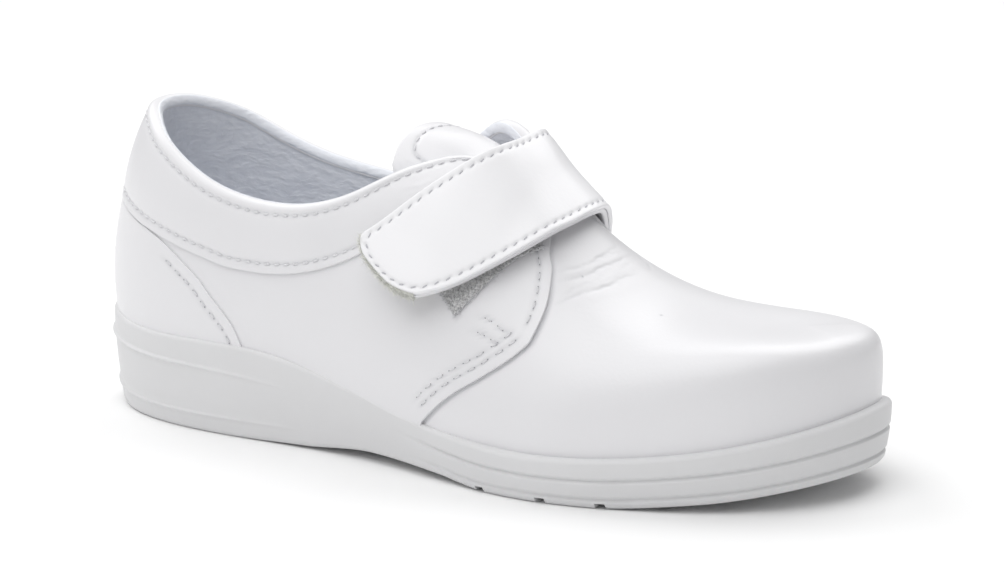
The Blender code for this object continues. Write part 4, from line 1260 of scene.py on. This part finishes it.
def make_vamp_lining():
    """The lining of the toe; at the toe's middle plane its way out lies in that plane."""
    rows = np.linspace(0, 1, 41)
    height = up_and_over(rows)
    start = np.full(len(height), turn_at(THROAT_END))
    points, normal = over_ridge(height, start, np.linspace(0, 1, 70) ** 0.9)
    toe = last_normal(np.full(len(rows), np.pi - 1e-3), rows)
    toe[:, 1] = 0
    normal[: len(rows), -1] = unit(toe)
    normal[len(rows) - 1 :, -1] = unit(toe)[::-1]
    return plate("vamp_lining", points - (UPPER_WALL - LINING_SINK) * normal, -normal, LINING_WALL)


lining = lining_leather()
dress(make_quarter_lining(), lining, "upper")
dress(make_vamp_lining(), lining, "upper")

# Insole
# A moulded foam pad faced with a fine pierced textile, a little dished under the heel.
# It lies loose in the sole's cup, with a small gap all round, and can be lifted out.
GAP = 0.0003
INSOLE_THICKNESS = 0.005
INSOLE_EASE = 0.00025
HEEL_DISH = 0.0012
NAP_DARK, NAP_PALE = (0.50, 0.53, 0.59), (0.60, 0.63, 0.68)
PERFORATION_PAINTED_SHADE = (0.16, 0.17, 0.19)


def insole_textile():
    """Short-napped pale textile over foam, with a fine knit and perforations in rows, darkened as painted
    shade.
    """
    made, wires, shader, place = new_material("insole_textile", Sheen_Weight=0.3, Specular_IOR_Level=0.15)
    turned = wires.node("VectorRotate", None, {"Vector": place, "Angle": math.radians(45)})
    loops = {"Vector": turned, "Scale": 900.0, "Randomness": 0.2}
    knit = wires.node("TexVoronoi", {"distance": "MANHATTAN"}, loops)
    holes = wires.node("TexVoronoi", None, {"Vector": turned, "Scale": 120.0, "Randomness": 0.0})
    pierced = wires.math("LESS_THAN", holes, 0.13)
    nap = noise(wires, place, 300, 4, 0.7)
    # Painted shade in the perforations.
    tone = blend(wires, pierced * 0.8, blend(wires, nap, NAP_DARK, NAP_PALE), PERFORATION_PAINTED_SHADE)
    height = knit * 0.5 + nap * 0.4 - pierced
    feed(wires, shader, Base_Color=tone, Roughness=nap * 0.1 + 0.85, Normal=bump(wires, height, 0.0003, 0.7))
    return made


def make_insole():
    """The pad as a grid from its outer to its inner edge, drawn together at heel and toe."""
    turn = np.linspace(0, np.pi, 150)
    outer_x, outer_y, _, _ = outline(turn, cavity_inset(turn) + GAP + INSOLE_EASE)
    inner_x, inner_y, _, _ = outline(2 * np.pi - turn, cavity_inset(2 * np.pi - turn) + GAP + INSOLE_EASE)
    top = rim_height(turn) - CUP_DEPTH + GAP + INSOLE_THICKNESS
    share = np.linspace(0, 1, 60)[:, None]
    x = outer_x + (inner_x - outer_x) * share
    y = outer_y + (inner_y - outer_y) * share
    dish = HEEL_DISH * np.exp(-(((along_at(turn) - 0.15) / 0.1) ** 2)) * (4 * share * (1 - share)) ** 2
    points = np.stack([x, y, top - dish], -1)
    points[:, 0] = points[0, 0]
    points[:, -1] = points[0, -1]
    return plate("insole_pad", points, (0, 0, 1), INSOLE_THICKNESS, edge=0.0006)


insole = make_insole()
dress(insole, insole_textile(), "insole")

# Tongue
# A tab of the white leather over thin foam, sewn in under the vamp, so that only its rounded end shows.
# It lies free under the quarters' flaps and the strap, with one row of stitches round its edge.
TONGUE_THICKNESS = 0.0028
TONGUE = (
    # along, side, height, half width, drop at the sides
    (0.437, 0.00, 1.003, 0.190, 0.105),
    (0.475, 0.005, 0.983, 0.195, 0.120),
    (0.515, 0.02, 0.935, 0.200, 0.125),
    (0.560, 0.02, 0.865, 0.200, 0.115),
    (0.600, 0.03, 0.785, 0.194, 0.10),
    (0.645, 0.04, 0.680, 0.180, 0.08),
)
TONGUE_TOP_SKEW = 0.30
TONGUE_TOP_ROUND = 0.022
TONGUE_BOW = 2.3
TONGUE_SLACK = 0.0009
TONGUE_FREE_FROM = 0.002
TONGUE_FREE_TO = 0.008
TONGUE_ROW_SIDE = 0.80
TONGUE_THREAD_SUNK = 0.0002
TONGUE_CHANNEL_DEPTH = 0.00015
TONGUE_PIT_RADIUS = 0.0006


def last_samples():
    """Places all over the last, with the way out and what the panels add there."""
    turn = np.linspace(0, 2 * np.pi, 360, endpoint=False)
    turn, height = np.meshgrid(turn, np.linspace(0.0, 1.0, 90), indexing="ij")
    turn, height = turn.ravel(), height.ravel()
    return last(turn, height), last_normal(turn, height), panel_stand(turn, height)


def panel_stand(turn, height):
    """How far quarter and collar band stand out from the last."""
    quarter = (quarter_turn(height) > mirrored(turn)) * QUARTER_RAISE
    return quarter + (quarter > 0) * (height > band_height(turn)) * BAND_RAISE


def beside(points, samples):
    """Distances of points out of the last and past it along its face, the ways out, the panels' stand."""
    places, normals, panels = samples
    flat = points.reshape(-1, 3)
    chosen = nearest(flat, places)
    gap = flat - places[chosen]
    away = (gap * normals[chosen]).sum(1)
    past = np.linalg.norm(gap - away[:, None] * normals[chosen], axis=1)
    shape = points.shape[:-1]
    out = normals[chosen].reshape(points.shape)
    return away.reshape(shape), out, past.reshape(shape), panels[chosen].reshape(shape)


def tongue_face(share, across):
    """Upper face of the tongue at shares of the way down it and from side to side, -1 to 1."""
    along, side, height, half, drop = np.array(TONGUE).T
    start = along[0] + TONGUE_TOP_ROUND * (1 - np.sqrt(1 - (0.985 * across) ** 2))
    place = start + (along[-1] - start) * share
    y = through(along, side, place) * BALL_WIDTH + across * through(along, half, place) * BALL_WIDTH
    x = place * LENGTH + (1 - share) ** 2 * TONGUE_TOP_SKEW * y
    bow = through(along, drop, place) * np.abs(across) ** TONGUE_BOW
    points = np.stack([x, y, HEEL_TOP * (through(along, height, place) - bow)], -1)
    for _ in range(3):
        away, out, past, _ = beside(points, samples)
        near = np.clip((TONGUE_FREE_TO - past) / (TONGUE_FREE_TO - TONGUE_FREE_FROM), 0, 1)
        sunk = np.clip(away + UPPER_WALL + GAP + TONGUE_SLACK, 0, None)
        points = points - (sunk * near)[..., None] * out
    return points


def sheet_out(grid):
    """The way out of a sheet that lies over the foot."""
    out = unit(np.cross(np.gradient(grid, axis=0), np.gradient(grid, axis=1)))
    return out if out[len(out) // 2, out.shape[1] // 2, 2] > 0 else -out


def grid_row(points, out, pitch, length, sunk):
    """Stitches along the points of a row that lies on a sheet."""
    run = run_along(points)
    at = np.arange(0, run[-1], ROW_STEP)
    points = np.stack([np.interp(at, run, points[:, k]) for k in range(3)], -1)
    out = unit(np.stack([np.interp(at, run, out[:, k]) for k in range(3)], -1))
    tangent = unit(np.gradient(points, axis=0))
    chosen, places = dashes(points, tangent, pitch, length)
    return points, places, (points[chosen] - sunk * out[chosen], tangent[chosen], out[chosen])


def make_tongue():
    """The tongue, and its stitch row that runs up one side, round the tab and down the other."""
    share, across = np.meshgrid(np.linspace(0, 1, 120), np.linspace(-1, 1, 80), indexing="ij")
    points = tongue_face(share, across)
    out = sheet_out(points)
    turned = np.linspace(-1, 1, 200)
    swing = np.where(np.abs(turned) > math.pi / 3.8, np.sign(turned), np.sin(turned * 1.9))
    down = np.clip(np.abs(turned) - 0.62, 0, 1) * 1.6
    round_in = 0.06 + 0.05 * np.abs(swing) ** 6
    line_across = TONGUE_ROW_SIDE * swing * (1 + 0.9 * np.minimum(down, 0.2))
    line = tongue_face(round_in + down, line_across)
    line_out = beside(line, (points.reshape(-1, 3), out.reshape(-1, 3), np.zeros(out[..., 0].size)))[1]
    line, places, thread_row = grid_row(line, line_out, BAND_PITCH, BAND_DASH, TONGUE_THREAD_SUNK)
    points, channel = press(points, out, line, TONGUE_CHANNEL_DEPTH, CHANNEL_RADIUS)
    points, pits = press(points, out, places, PIT_DEPTH, TONGUE_PIT_RADIUS)
    # Painted shade in the stitch channel and pits.
    painted_shade_and_specks = np.maximum(0.12 * channel, 0.6 * pits)
    return plate("tongue_tab", points, out, TONGUE_THICKNESS, painted_shade_and_specks, edge=0.0007), thread_row


samples = last_samples()
tongue, tongue_thread = make_tongue()
dress(tongue, leather, "tongue")
dress(sew("tongue_stitches", [tongue_thread], BAND_DASH), thread, None)

# Strap
# Two layers of brighter white leather, glued and stitched together along both edges and round the tip.
# Its root is sewn to the inner quarter. It runs over the instep and closes on the outer quarter by tape.
STRAP_THICKNESS = 0.0036
STRAP = (
    # rear edge along, side, height, front edge along, side, height, seated, stand-off
    (0.432, -0.393, 0.692, 0.509, -0.480, 0.563, 1, 1.0),
    (0.456, -0.372, 0.746, 0.540, -0.454, 0.589, 1, 0.45),
    (0.484, -0.327, 0.815, 0.570, -0.408, 0.623, 1, 0.0),
    (0.515, -0.265, 0.882, 0.602, -0.321, 0.674, 1, 0.0),
    (0.540, -0.168, 0.938, 0.625, -0.235, 0.716, 0.5, 0.0),
    (0.556, -0.051, 0.965, 0.641, -0.122, 0.752, 0, 0.0),
    (0.558, 0.061, 0.976, 0.650, 0.000, 0.778, 0, 0.0),
    (0.550, 0.158, 0.961, 0.647, 0.102, 0.773, 0, 0.0),
    (0.531, 0.250, 0.886, 0.631, 0.214, 0.716, 0.5, 0.0),
    (0.517, 0.306, 0.795, 0.613, 0.300, 0.625, 1, 0.0),
    (0.497, 0.345, 0.670, 0.593, 0.365, 0.515, 1, 0.0),
)
HOOK_THICKNESS = 0.001
LOOP_THICKNESS = 0.0012
STRAP_SLACK = 0.0006
STRAP_BACKED_TO = 0.0015
STRAP_FREE_FROM = 0.0045
STRAP_TIP_LIFT = 0.0035
STRAP_TIP_ROUND = 0.07
TIP_SQUARENESS = 2.5
TOP_TIP_TRIM = 0.022
STITCH_SLANT = 0.30
STRAP_PITCH = 0.0037
STRAP_DASH = 0.0020
STRAP_THREAD_WIDTH = 0.00052
STRAP_STITCH = 0.0015
STRAP_TIP_STITCH = 0.00134
STRAP_PIT_RADIUS = 0.00045
STRAP_CHANNEL_DEPTH = 0.00012
STRAP_EDGE = 0.0004
STRAP_TIP_WIDTH = 0.0255
STRAP_LENGTH = 0.116
UNDER_LAYER_TRIM = 0.012
LAYER = 0.00175
LAYER_GAP = 0.0001
STRAP_WHITE = (0.94, 0.936, 0.955)
# The strap thread's grey is painted shade of its sunk stitches.
PAINTED_SHADE_THREAD_LOW, PAINTED_SHADE_THREAD_HIGH = (0.50, 0.50, 0.53), (0.64, 0.64, 0.67)


def softened(values):
    """Each value averaged with its neighbours in the grid."""
    padded = np.pad(values, 1, mode="edge")
    return (2 * values + padded[:-2, 1:-1] + padded[2:, 1:-1] + padded[1:-1, :-2] + padded[1:-1, 2:]) / 6


def strap_form():
    """Middle of the strap as a close grid, in rows from its tip and columns from rear to front."""
    table = np.array(STRAP)
    station = np.linspace(0, 1, 45)
    values = [through(np.linspace(0, 1, len(table)), table[:, k], station) for k in range(table.shape[1])]
    sizes = np.array([LENGTH, BALL_WIDTH, HEEL_TOP])
    rear = np.stack(values[0:3], -1) * sizes
    front = np.stack(values[3:6], -1) * sizes
    form = rear[:, None] + (front - rear)[:, None] * np.linspace(0, 1, 13)[None, :, None]
    seated = np.broadcast_to(values[6][:, None], form.shape[:2])
    stack = QUARTER_RAISE + 3 * GAP + HOOK_THICKNESS + LOOP_THICKNESS
    for _ in range(4):
        away, _, past, panel = beside(form, samples)
        under = np.where(station[:, None] < 0.5, stack, panel + GAP)
        short = under + STRAP_THICKNESS / 2 + STRAP_SLACK + STRAP_TIP_LIFT * values[7][:, None] - away
        backed = np.clip((STRAP_FREE_FROM - past) / (STRAP_FREE_FROM - STRAP_BACKED_TO), 0, 1)
        push = short * backed * np.where(short > 0, 1.0, seated)
        for _ in range(3):
            push = softened(push)
        form = form + push[..., None] * sheet_out(form)
    for _ in range(3):
        form[1:-1] = (form[:-2] + 2 * form[1:-1] + form[2:]) / 4
    return form


def cubic(rows, s):
    """Smooth value at a share s of the way from the second of four rows to the third."""
    value = rows[1] + 0.5 * s * (rows[2] - rows[0])
    value += s * s * (rows[0] - 2.5 * rows[1] + 2 * rows[2] - 0.5 * rows[3])
    return value + 0.5 * s**3 * (3 * rows[1] - 3 * rows[2] + rows[3] - rows[0])


def four_around(share, count):
    """The four places of a line around a share of its length, and how far between the middle two."""
    at = share.ravel() * (count - 1)
    i = np.clip(at.astype(int), 0, count - 2)
    return [np.clip(i + k, 0, count - 1) for k in (-1, 0, 1, 2)], (at - i)[:, None]


def on_grid(grid, station, across):
    """Points of the form at shares of the way along it, in rows, and across it."""
    rows, s = four_around(station, grid.shape[0])
    columns, t = four_around(across, grid.shape[1])
    lines = [cubic([grid[i, j] for i in rows], s) for j in columns]
    return cubic(lines, t).reshape(*station.shape, 3)


def tip_round(across):
    """How far the rounded tip stands back from its middle, across the strap."""
    return 1 - (1 - (0.99 * np.abs(2 * across - 1)) ** TIP_SQUARENESS) ** (1 / TIP_SQUARENESS)


def tip_start(across, trim):
    """Station where the tip begins at each place across; a trimmed layer stands back at the front."""
    return (STRAP_TIP_ROUND + trim * across) * tip_round(across) + 0.25 * trim * across**3


def strap_layer(offset, trim, squeeze, steps):
    """One layer of the strap: its face stands off the form by offset, its tip and edges are cut back."""
    columns = [np.linspace(0, 0.16, 15), np.linspace(0.16, 0.84, 26)[1:-1], np.linspace(0.84, 1, 15)]
    across, share = np.meshgrid(np.concatenate(columns), np.linspace(0, 1, steps))
    across = 0.5 + (across - 0.5) * (1 - squeeze)
    start = tip_start(across, trim)
    station = start + (1 - start) * share
    points = on_grid(form, station, across)
    out = sheet_out(points)
    return points + offset * out, out


def strap_row():
    """Stitch row that runs down the rear edge, round the tip and back along the front edge."""
    inset = STRAP_STITCH / STRAP_TIP_WIDTH
    way = (1 - np.cos(np.linspace(0, np.pi, 400))) / 2
    tip_station = tip_start(way, TOP_TIP_TRIM) + STRAP_TIP_STITCH / STRAP_LENGTH
    tip_across = inset + (1 - 2 * inset) * way
    rear = np.linspace(0.995, tip_station[0], 500)[:-1]
    front = np.linspace(tip_station[-1], 0.995, 500)[1:]
    station = np.concatenate([rear, tip_station, front])
    across = np.concatenate([0 * rear + inset, tip_across, 0 * front + 1 - inset])
    beside_it = 0.004
    middle = on_grid(form, station, across)
    along = on_grid(form, station + beside_it, across) - on_grid(form, station - beside_it, across)
    aside = on_grid(form, station, across + beside_it) - on_grid(form, station, across - beside_it)
    out = unit(np.cross(along, aside))
    out *= np.sign((out * sheet_out(form)[22, 6]).sum(-1).mean())
    return middle + STRAP_THICKNESS / 2 * out, out


def make_strap_top():
    """The seen layer, with its stitches set slightly aslant as the machine leaves them."""
    points, out = strap_layer(STRAP_THICKNESS / 2, TOP_TIP_TRIM, 0.0, 280)
    line, line_out = strap_row()
    line, _, (middle, tangent, way_out) = grid_row(line, line_out, STRAP_PITCH, STRAP_DASH, PIT_DEPTH)
    tangent = unit(tangent + STITCH_SLANT * np.cross(way_out, tangent))
    offsets = np.linspace(-0.5, 0.5, 7) * STRAP_DASH
    places = (middle[:, None] + offsets[:, None] * tangent[:, None]).reshape(-1, 3)
    points, channel = press(points, out, line, STRAP_CHANNEL_DEPTH, CHANNEL_RADIUS)
    points, pits = press(points, out, places, PIT_DEPTH, STRAP_PIT_RADIUS)
    # Painted shade in the stitch channel and pits.
    painted_shade_and_specks = np.maximum(0.03 * channel, 0.22 * pits)
    sheet = plate("strap_top_layer", points, out, LAYER, painted_shade_and_specks, edge=STRAP_EDGE)
    return sheet, (middle, tangent, way_out)


form = strap_form()
strap_top, strap_thread = make_strap_top()
dress(strap_top, coated_leather("strap_leather", STRAP_WHITE), "strap")
under_points, under_out = strap_layer(STRAP_THICKNESS / 2 - LAYER - LAYER_GAP, 0.0, UNDER_LAYER_TRIM, 120)
strap_under = plate("strap_under_layer", under_points, under_out, LAYER, edge=STRAP_EDGE)
dress(strap_under, leather, "strap")
strap_stitches = sew("strap_stitches", [strap_thread], STRAP_DASH, STRAP_THREAD_WIDTH)
# Painted shade: the strap's stitches are coloured grey for the shade where they sink.
strap_thread_painted_shade = twisted_thread("strap_thread_painted_shade", PAINTED_SHADE_THREAD_LOW, PAINTED_SHADE_THREAD_HIGH)
dress(strap_stitches, strap_thread_painted_shade, None)

# Hook and loop tape
# Nylon tape in two halves: hooks sewn under the strap's tip, and a brushed pile of loops on the quarter.
# The hook half's pale napped edge shows round the tip, and a corner of the grey pile below the strap.
TAPE_GROUND = 0.6
FIBRE_WIDTH = 0.0002
HOOK_WIDTH = 0.00022
HOOK_HEIGHT, NAP_HEIGHT, LOOP_HEIGHT, FRINGE_HEIGHT = 0.0009, 0.0014, 0.0006, 0.0008
HOOK_COUNT, NAP_COUNT, LOOP_COUNT, FRINGE_COUNT = 900, 4500, 3000, 1300
HOOK_FROM = 0.035
HOOK_TO = 0.36
HOOK_MARGIN = 0.14
LOOP_CORNERS = (
    # along, height
    (0.561, 0.379),
    (0.630, 0.675),
    (0.552, 0.770),
    (0.490, 0.600),
)


def tape(name, low, high, scale):
    """Woven tape ground under hooks or loops: two tones in small cells."""
    made, wires, shader, place = new_material(name, Sheen_Weight=0.4, Specular_IOR_Level=0.2)
    cells = wires.node("TexVoronoi", None, {"Vector": place, "Scale": scale})
    nap = noise(wires, place, 1300, 4, 0.8)
    share = wires.math("MINIMUM", wires.math("MAXIMUM", cells * 0.7 + nap * 2.4 - 1.0, 0.0), 1.0)
    tone = blend(wires, share, low, high)
    relief = bump(wires, share + nap * 0.5, 0.0003, 0.7)
    feed(wires, shader, Base_Color=tone, Roughness=nap * 0.1 + 0.85, Normal=relief)
    return made


def brush(name, base, out, count, height, width, seed):
    """Short bent fibres that stand on a face, each a thin three-sided stem of two joints."""
    rng = np.random.default_rng(seed)
    spots = base.reshape(-1, 3)
    ways = out.reshape(-1, 3)
    chosen = rng.integers(0, len(spots), count)
    lean = rng.normal(0, 0.55, (count, 3))
    jitter = rng.uniform(-0.5, 0.5, (count, 3)) * np.linalg.norm(spots[1] - spots[0]) * 1.4
    root = spots[chosen] + jitter - 0.0001 * ways[chosen]
    steps = np.linspace(0, 1, 3)
    tall = height * rng.uniform(0.5, 1.1, count)
    rise = ways[chosen][:, None] * (np.sin(steps * 2.2)[None, :] * tall[:, None])[..., None]
    drift = lean[:, None] * (steps**1.5)[None, :, None] * tall[:, None, None]
    spine = root[:, None] + rise + drift
    side = unit(np.cross(ways[chosen], lean))
    other = unit(np.cross(side, ways[chosen]))
    taper = width / 2 * (1 - 0.6 * steps)
    angle = np.arange(3) * math.tau / 3
    around = np.cos(angle)[:, None] * side[:, None] + np.sin(angle)[:, None] * other[:, None]
    body = spine[:, :, None] + taper[None, :, None, None] * around[:, None]
    return new_piece(name, body.reshape(-1, 3), repeat(stem_faces(3, 3), 9, count))


def make_hooks():
    """The hook tape's ground under the strap's tip, and its hooks, which point to the shoe."""
    across, share = np.meshgrid(np.linspace(HOOK_MARGIN, 1 - HOOK_MARGIN, 40), np.linspace(0, 1, 70))
    start = HOOK_FROM + STRAP_TIP_ROUND * tip_round(across)
    middle = on_grid(form, start + (HOOK_TO - start) * share, across)
    out = sheet_out(middle)
    top = middle - (STRAP_THICKNESS / 2 + 0.0001) * out
    sheet = plate("hook_tape", top, out, HOOK_THICKNESS * TAPE_GROUND)
    roots = top - HOOK_THICKNESS * TAPE_GROUND * out
    return sheet, brush("hooks", roots, -out, HOOK_COUNT, HOOK_HEIGHT, HOOK_WIDTH, 3)


def make_tip_fuzz():
    """Napped edge of the hook tape where it shows beyond the top layer round the tip."""
    way = np.linspace(0, 1, 300)
    across = 0.5 + (way - 0.5) * 0.97
    station = tip_start(across, 0.0) + 0.004
    sunk = np.linspace(-0.2, -0.9, 5)[:, None, None] * STRAP_THICKNESS
    middle = on_grid(form, station, across)
    inwards = on_grid(form, station + 0.03, np.clip((across - 0.5) * 0.7 + 0.5, 0, 1))
    lift = unit(middle - inwards)
    out = unit(np.cross(np.gradient(middle, axis=0), lift))
    out *= np.sign(out[150, 2])
    roots = middle[None] + (sunk + STRAP_THICKNESS / 2) * out[None]
    lift = np.broadcast_to(lift, roots.shape)
    return brush("tape_nap", roots, lift, NAP_COUNT, NAP_HEIGHT, FIBRE_WIDTH, 9)


def make_loops():
    """The loop tape's ground between its four corners, its pile, and the loose fringe round its cut edge."""
    front, along_front, along_back, back = np.array(LOOP_CORNERS)
    a, b = np.meshgrid(np.linspace(0, 1, 60), np.linspace(0, 1, 50), indexing="ij")
    a, b = a[..., None], b[..., None]
    place = (1 - a) * ((1 - b) * front + b * back) + a * ((1 - b) * along_front + b * along_back)
    turn, height = turn_at(place[..., 0]), place[..., 1]
    normal = last_normal(turn, height)
    face = last(turn, height) + (QUARTER_RAISE + GAP + LOOP_THICKNESS * TAPE_GROUND) * normal
    rim, out = (np.concatenate([grid[0], grid[-1], grid[:, 0], grid[:, -1]]) for grid in (face, normal))
    way = unit(unit(rim - face.mean((0, 1))) + 0.3 * out)
    fringe = brush("loop_fringe", rim - GAP * out, way, FRINGE_COUNT, FRINGE_HEIGHT, FIBRE_WIDTH, 7)
    loops = brush("loops", face, normal, LOOP_COUNT, LOOP_HEIGHT, FIBRE_WIDTH, 5)
    return plate("loop_tape", face, normal, LOOP_THICKNESS * TAPE_GROUND), loops, fringe


hook_tape, hooks = make_hooks()
hook_look = tape("hook_tape_weave", (0.55, 0.57, 0.42), (0.80, 0.82, 0.68), 900.0)
dress(hook_tape, hook_look, "hook_patch")
dress(hooks, hook_look, None)
nap_look = tape("tape_nap", (0.87, 0.88, 0.80), (0.96, 0.96, 0.93), 900.0)
dress(make_tip_fuzz(), nap_look, None)
loop_tape, loops, fringe = make_loops()
loop_look = tape("loop_tape_pile", (0.30, 0.30, 0.31), (0.95, 0.95, 0.95), 1600.0)
dress(loop_tape, loop_look, "loop_patch")
dress(loops, loop_look, None)
dress(fringe, thread, None)

# Camera, floor and light
# The photo is a studio shot with a long lens from the front outer side, on nearly burnt-out white.
# Large soft lamps above, in front and behind light the shoe evenly, and the white floor keeps a soft shadow.
TARGET = (0.1405, 0.0, 0.048)
DISTANCE = 1.1
AZIMUTH, ELEVATION, ROLL = 31.0, 13.5, -0.5
FOCAL_PIXELS = 3630
PHOTO_WIDTH = 1004
FLOOR_WHITE = (0.95, 0.95, 0.95, 1)
WORLD_STRENGTH = 0.28
LAMPS = (
    # name, place, size, power
    ("overhead_front", (0.1, -0.7, 1.4), 1.6, 12.0),
    ("front_left", (-0.9, -0.9, 1.0), 1.2, 2.5),
    ("overhead_back", (0.1, 0.9, 1.3), 1.4, 9.9),
    ("back_left", (-1.0, 0.3, 1.2), 1.2, 8.1),
)


def add_camera():
    az, el, roll = map(math.radians, (AZIMUTH, ELEVATION, ROLL))
    back = Vector((math.sin(az) * math.cos(el), -math.cos(az) * math.cos(el), math.sin(el)))
    right = Vector((math.cos(az), math.sin(az), 0))
    up = back.cross(right)
    right, up = math.cos(roll) * right + math.sin(roll) * up, -math.sin(roll) * right + math.cos(roll) * up
    data = bpy.data.cameras.new("camera")
    data.sensor_width = 36
    data.lens = FOCAL_PIXELS / PHOTO_WIDTH * data.sensor_width
    camera = bpy.data.objects.new("camera", data)
    camera.matrix_world = Matrix((right, up, back)).transposed().to_4x4()
    camera.location = Vector(TARGET) - Vector(CENTRE) + DISTANCE * back
    bpy.context.scene.collection.objects.link(camera)
    bpy.context.scene.camera = camera


def add_floor():
    bpy.ops.mesh.primitive_plane_add(size=12)
    floor = bpy.context.object
    floor.name = "floor"
    finish = new_material("floor_white", Base_Color=FLOOR_WHITE, Roughness=0.9, Specular_IOR_Level=0.0)
    floor.data.materials.append(finish[0])


def add_light(name, place, size, power):
    data = bpy.data.lights.new(name, "AREA")
    data.shape = "DISK"
    data.size = size
    data.energy = power
    lamp = bpy.data.objects.new(name, data)
    lamp.location = place
    lamp.rotation_euler = (Vector((0, 0, 0.04)) - Vector(place)).to_track_quat("-Z", "Y").to_euler()
    bpy.context.scene.collection.objects.link(lamp)


add_camera()
add_floor()
for lamp in LAMPS:
    add_light(*lamp)
world = bpy.data.worlds.new("studio")
bpy.context.scene.world = world
world.use_nodes = True
background = world.node_tree.nodes["Background"]
background.inputs["Color"].default_value = (1, 1, 1, 1)
background.inputs["Strength"].default_value = WORLD_STRENGTH
bpy.context.scene.view_settings.view_transform = "Standard"
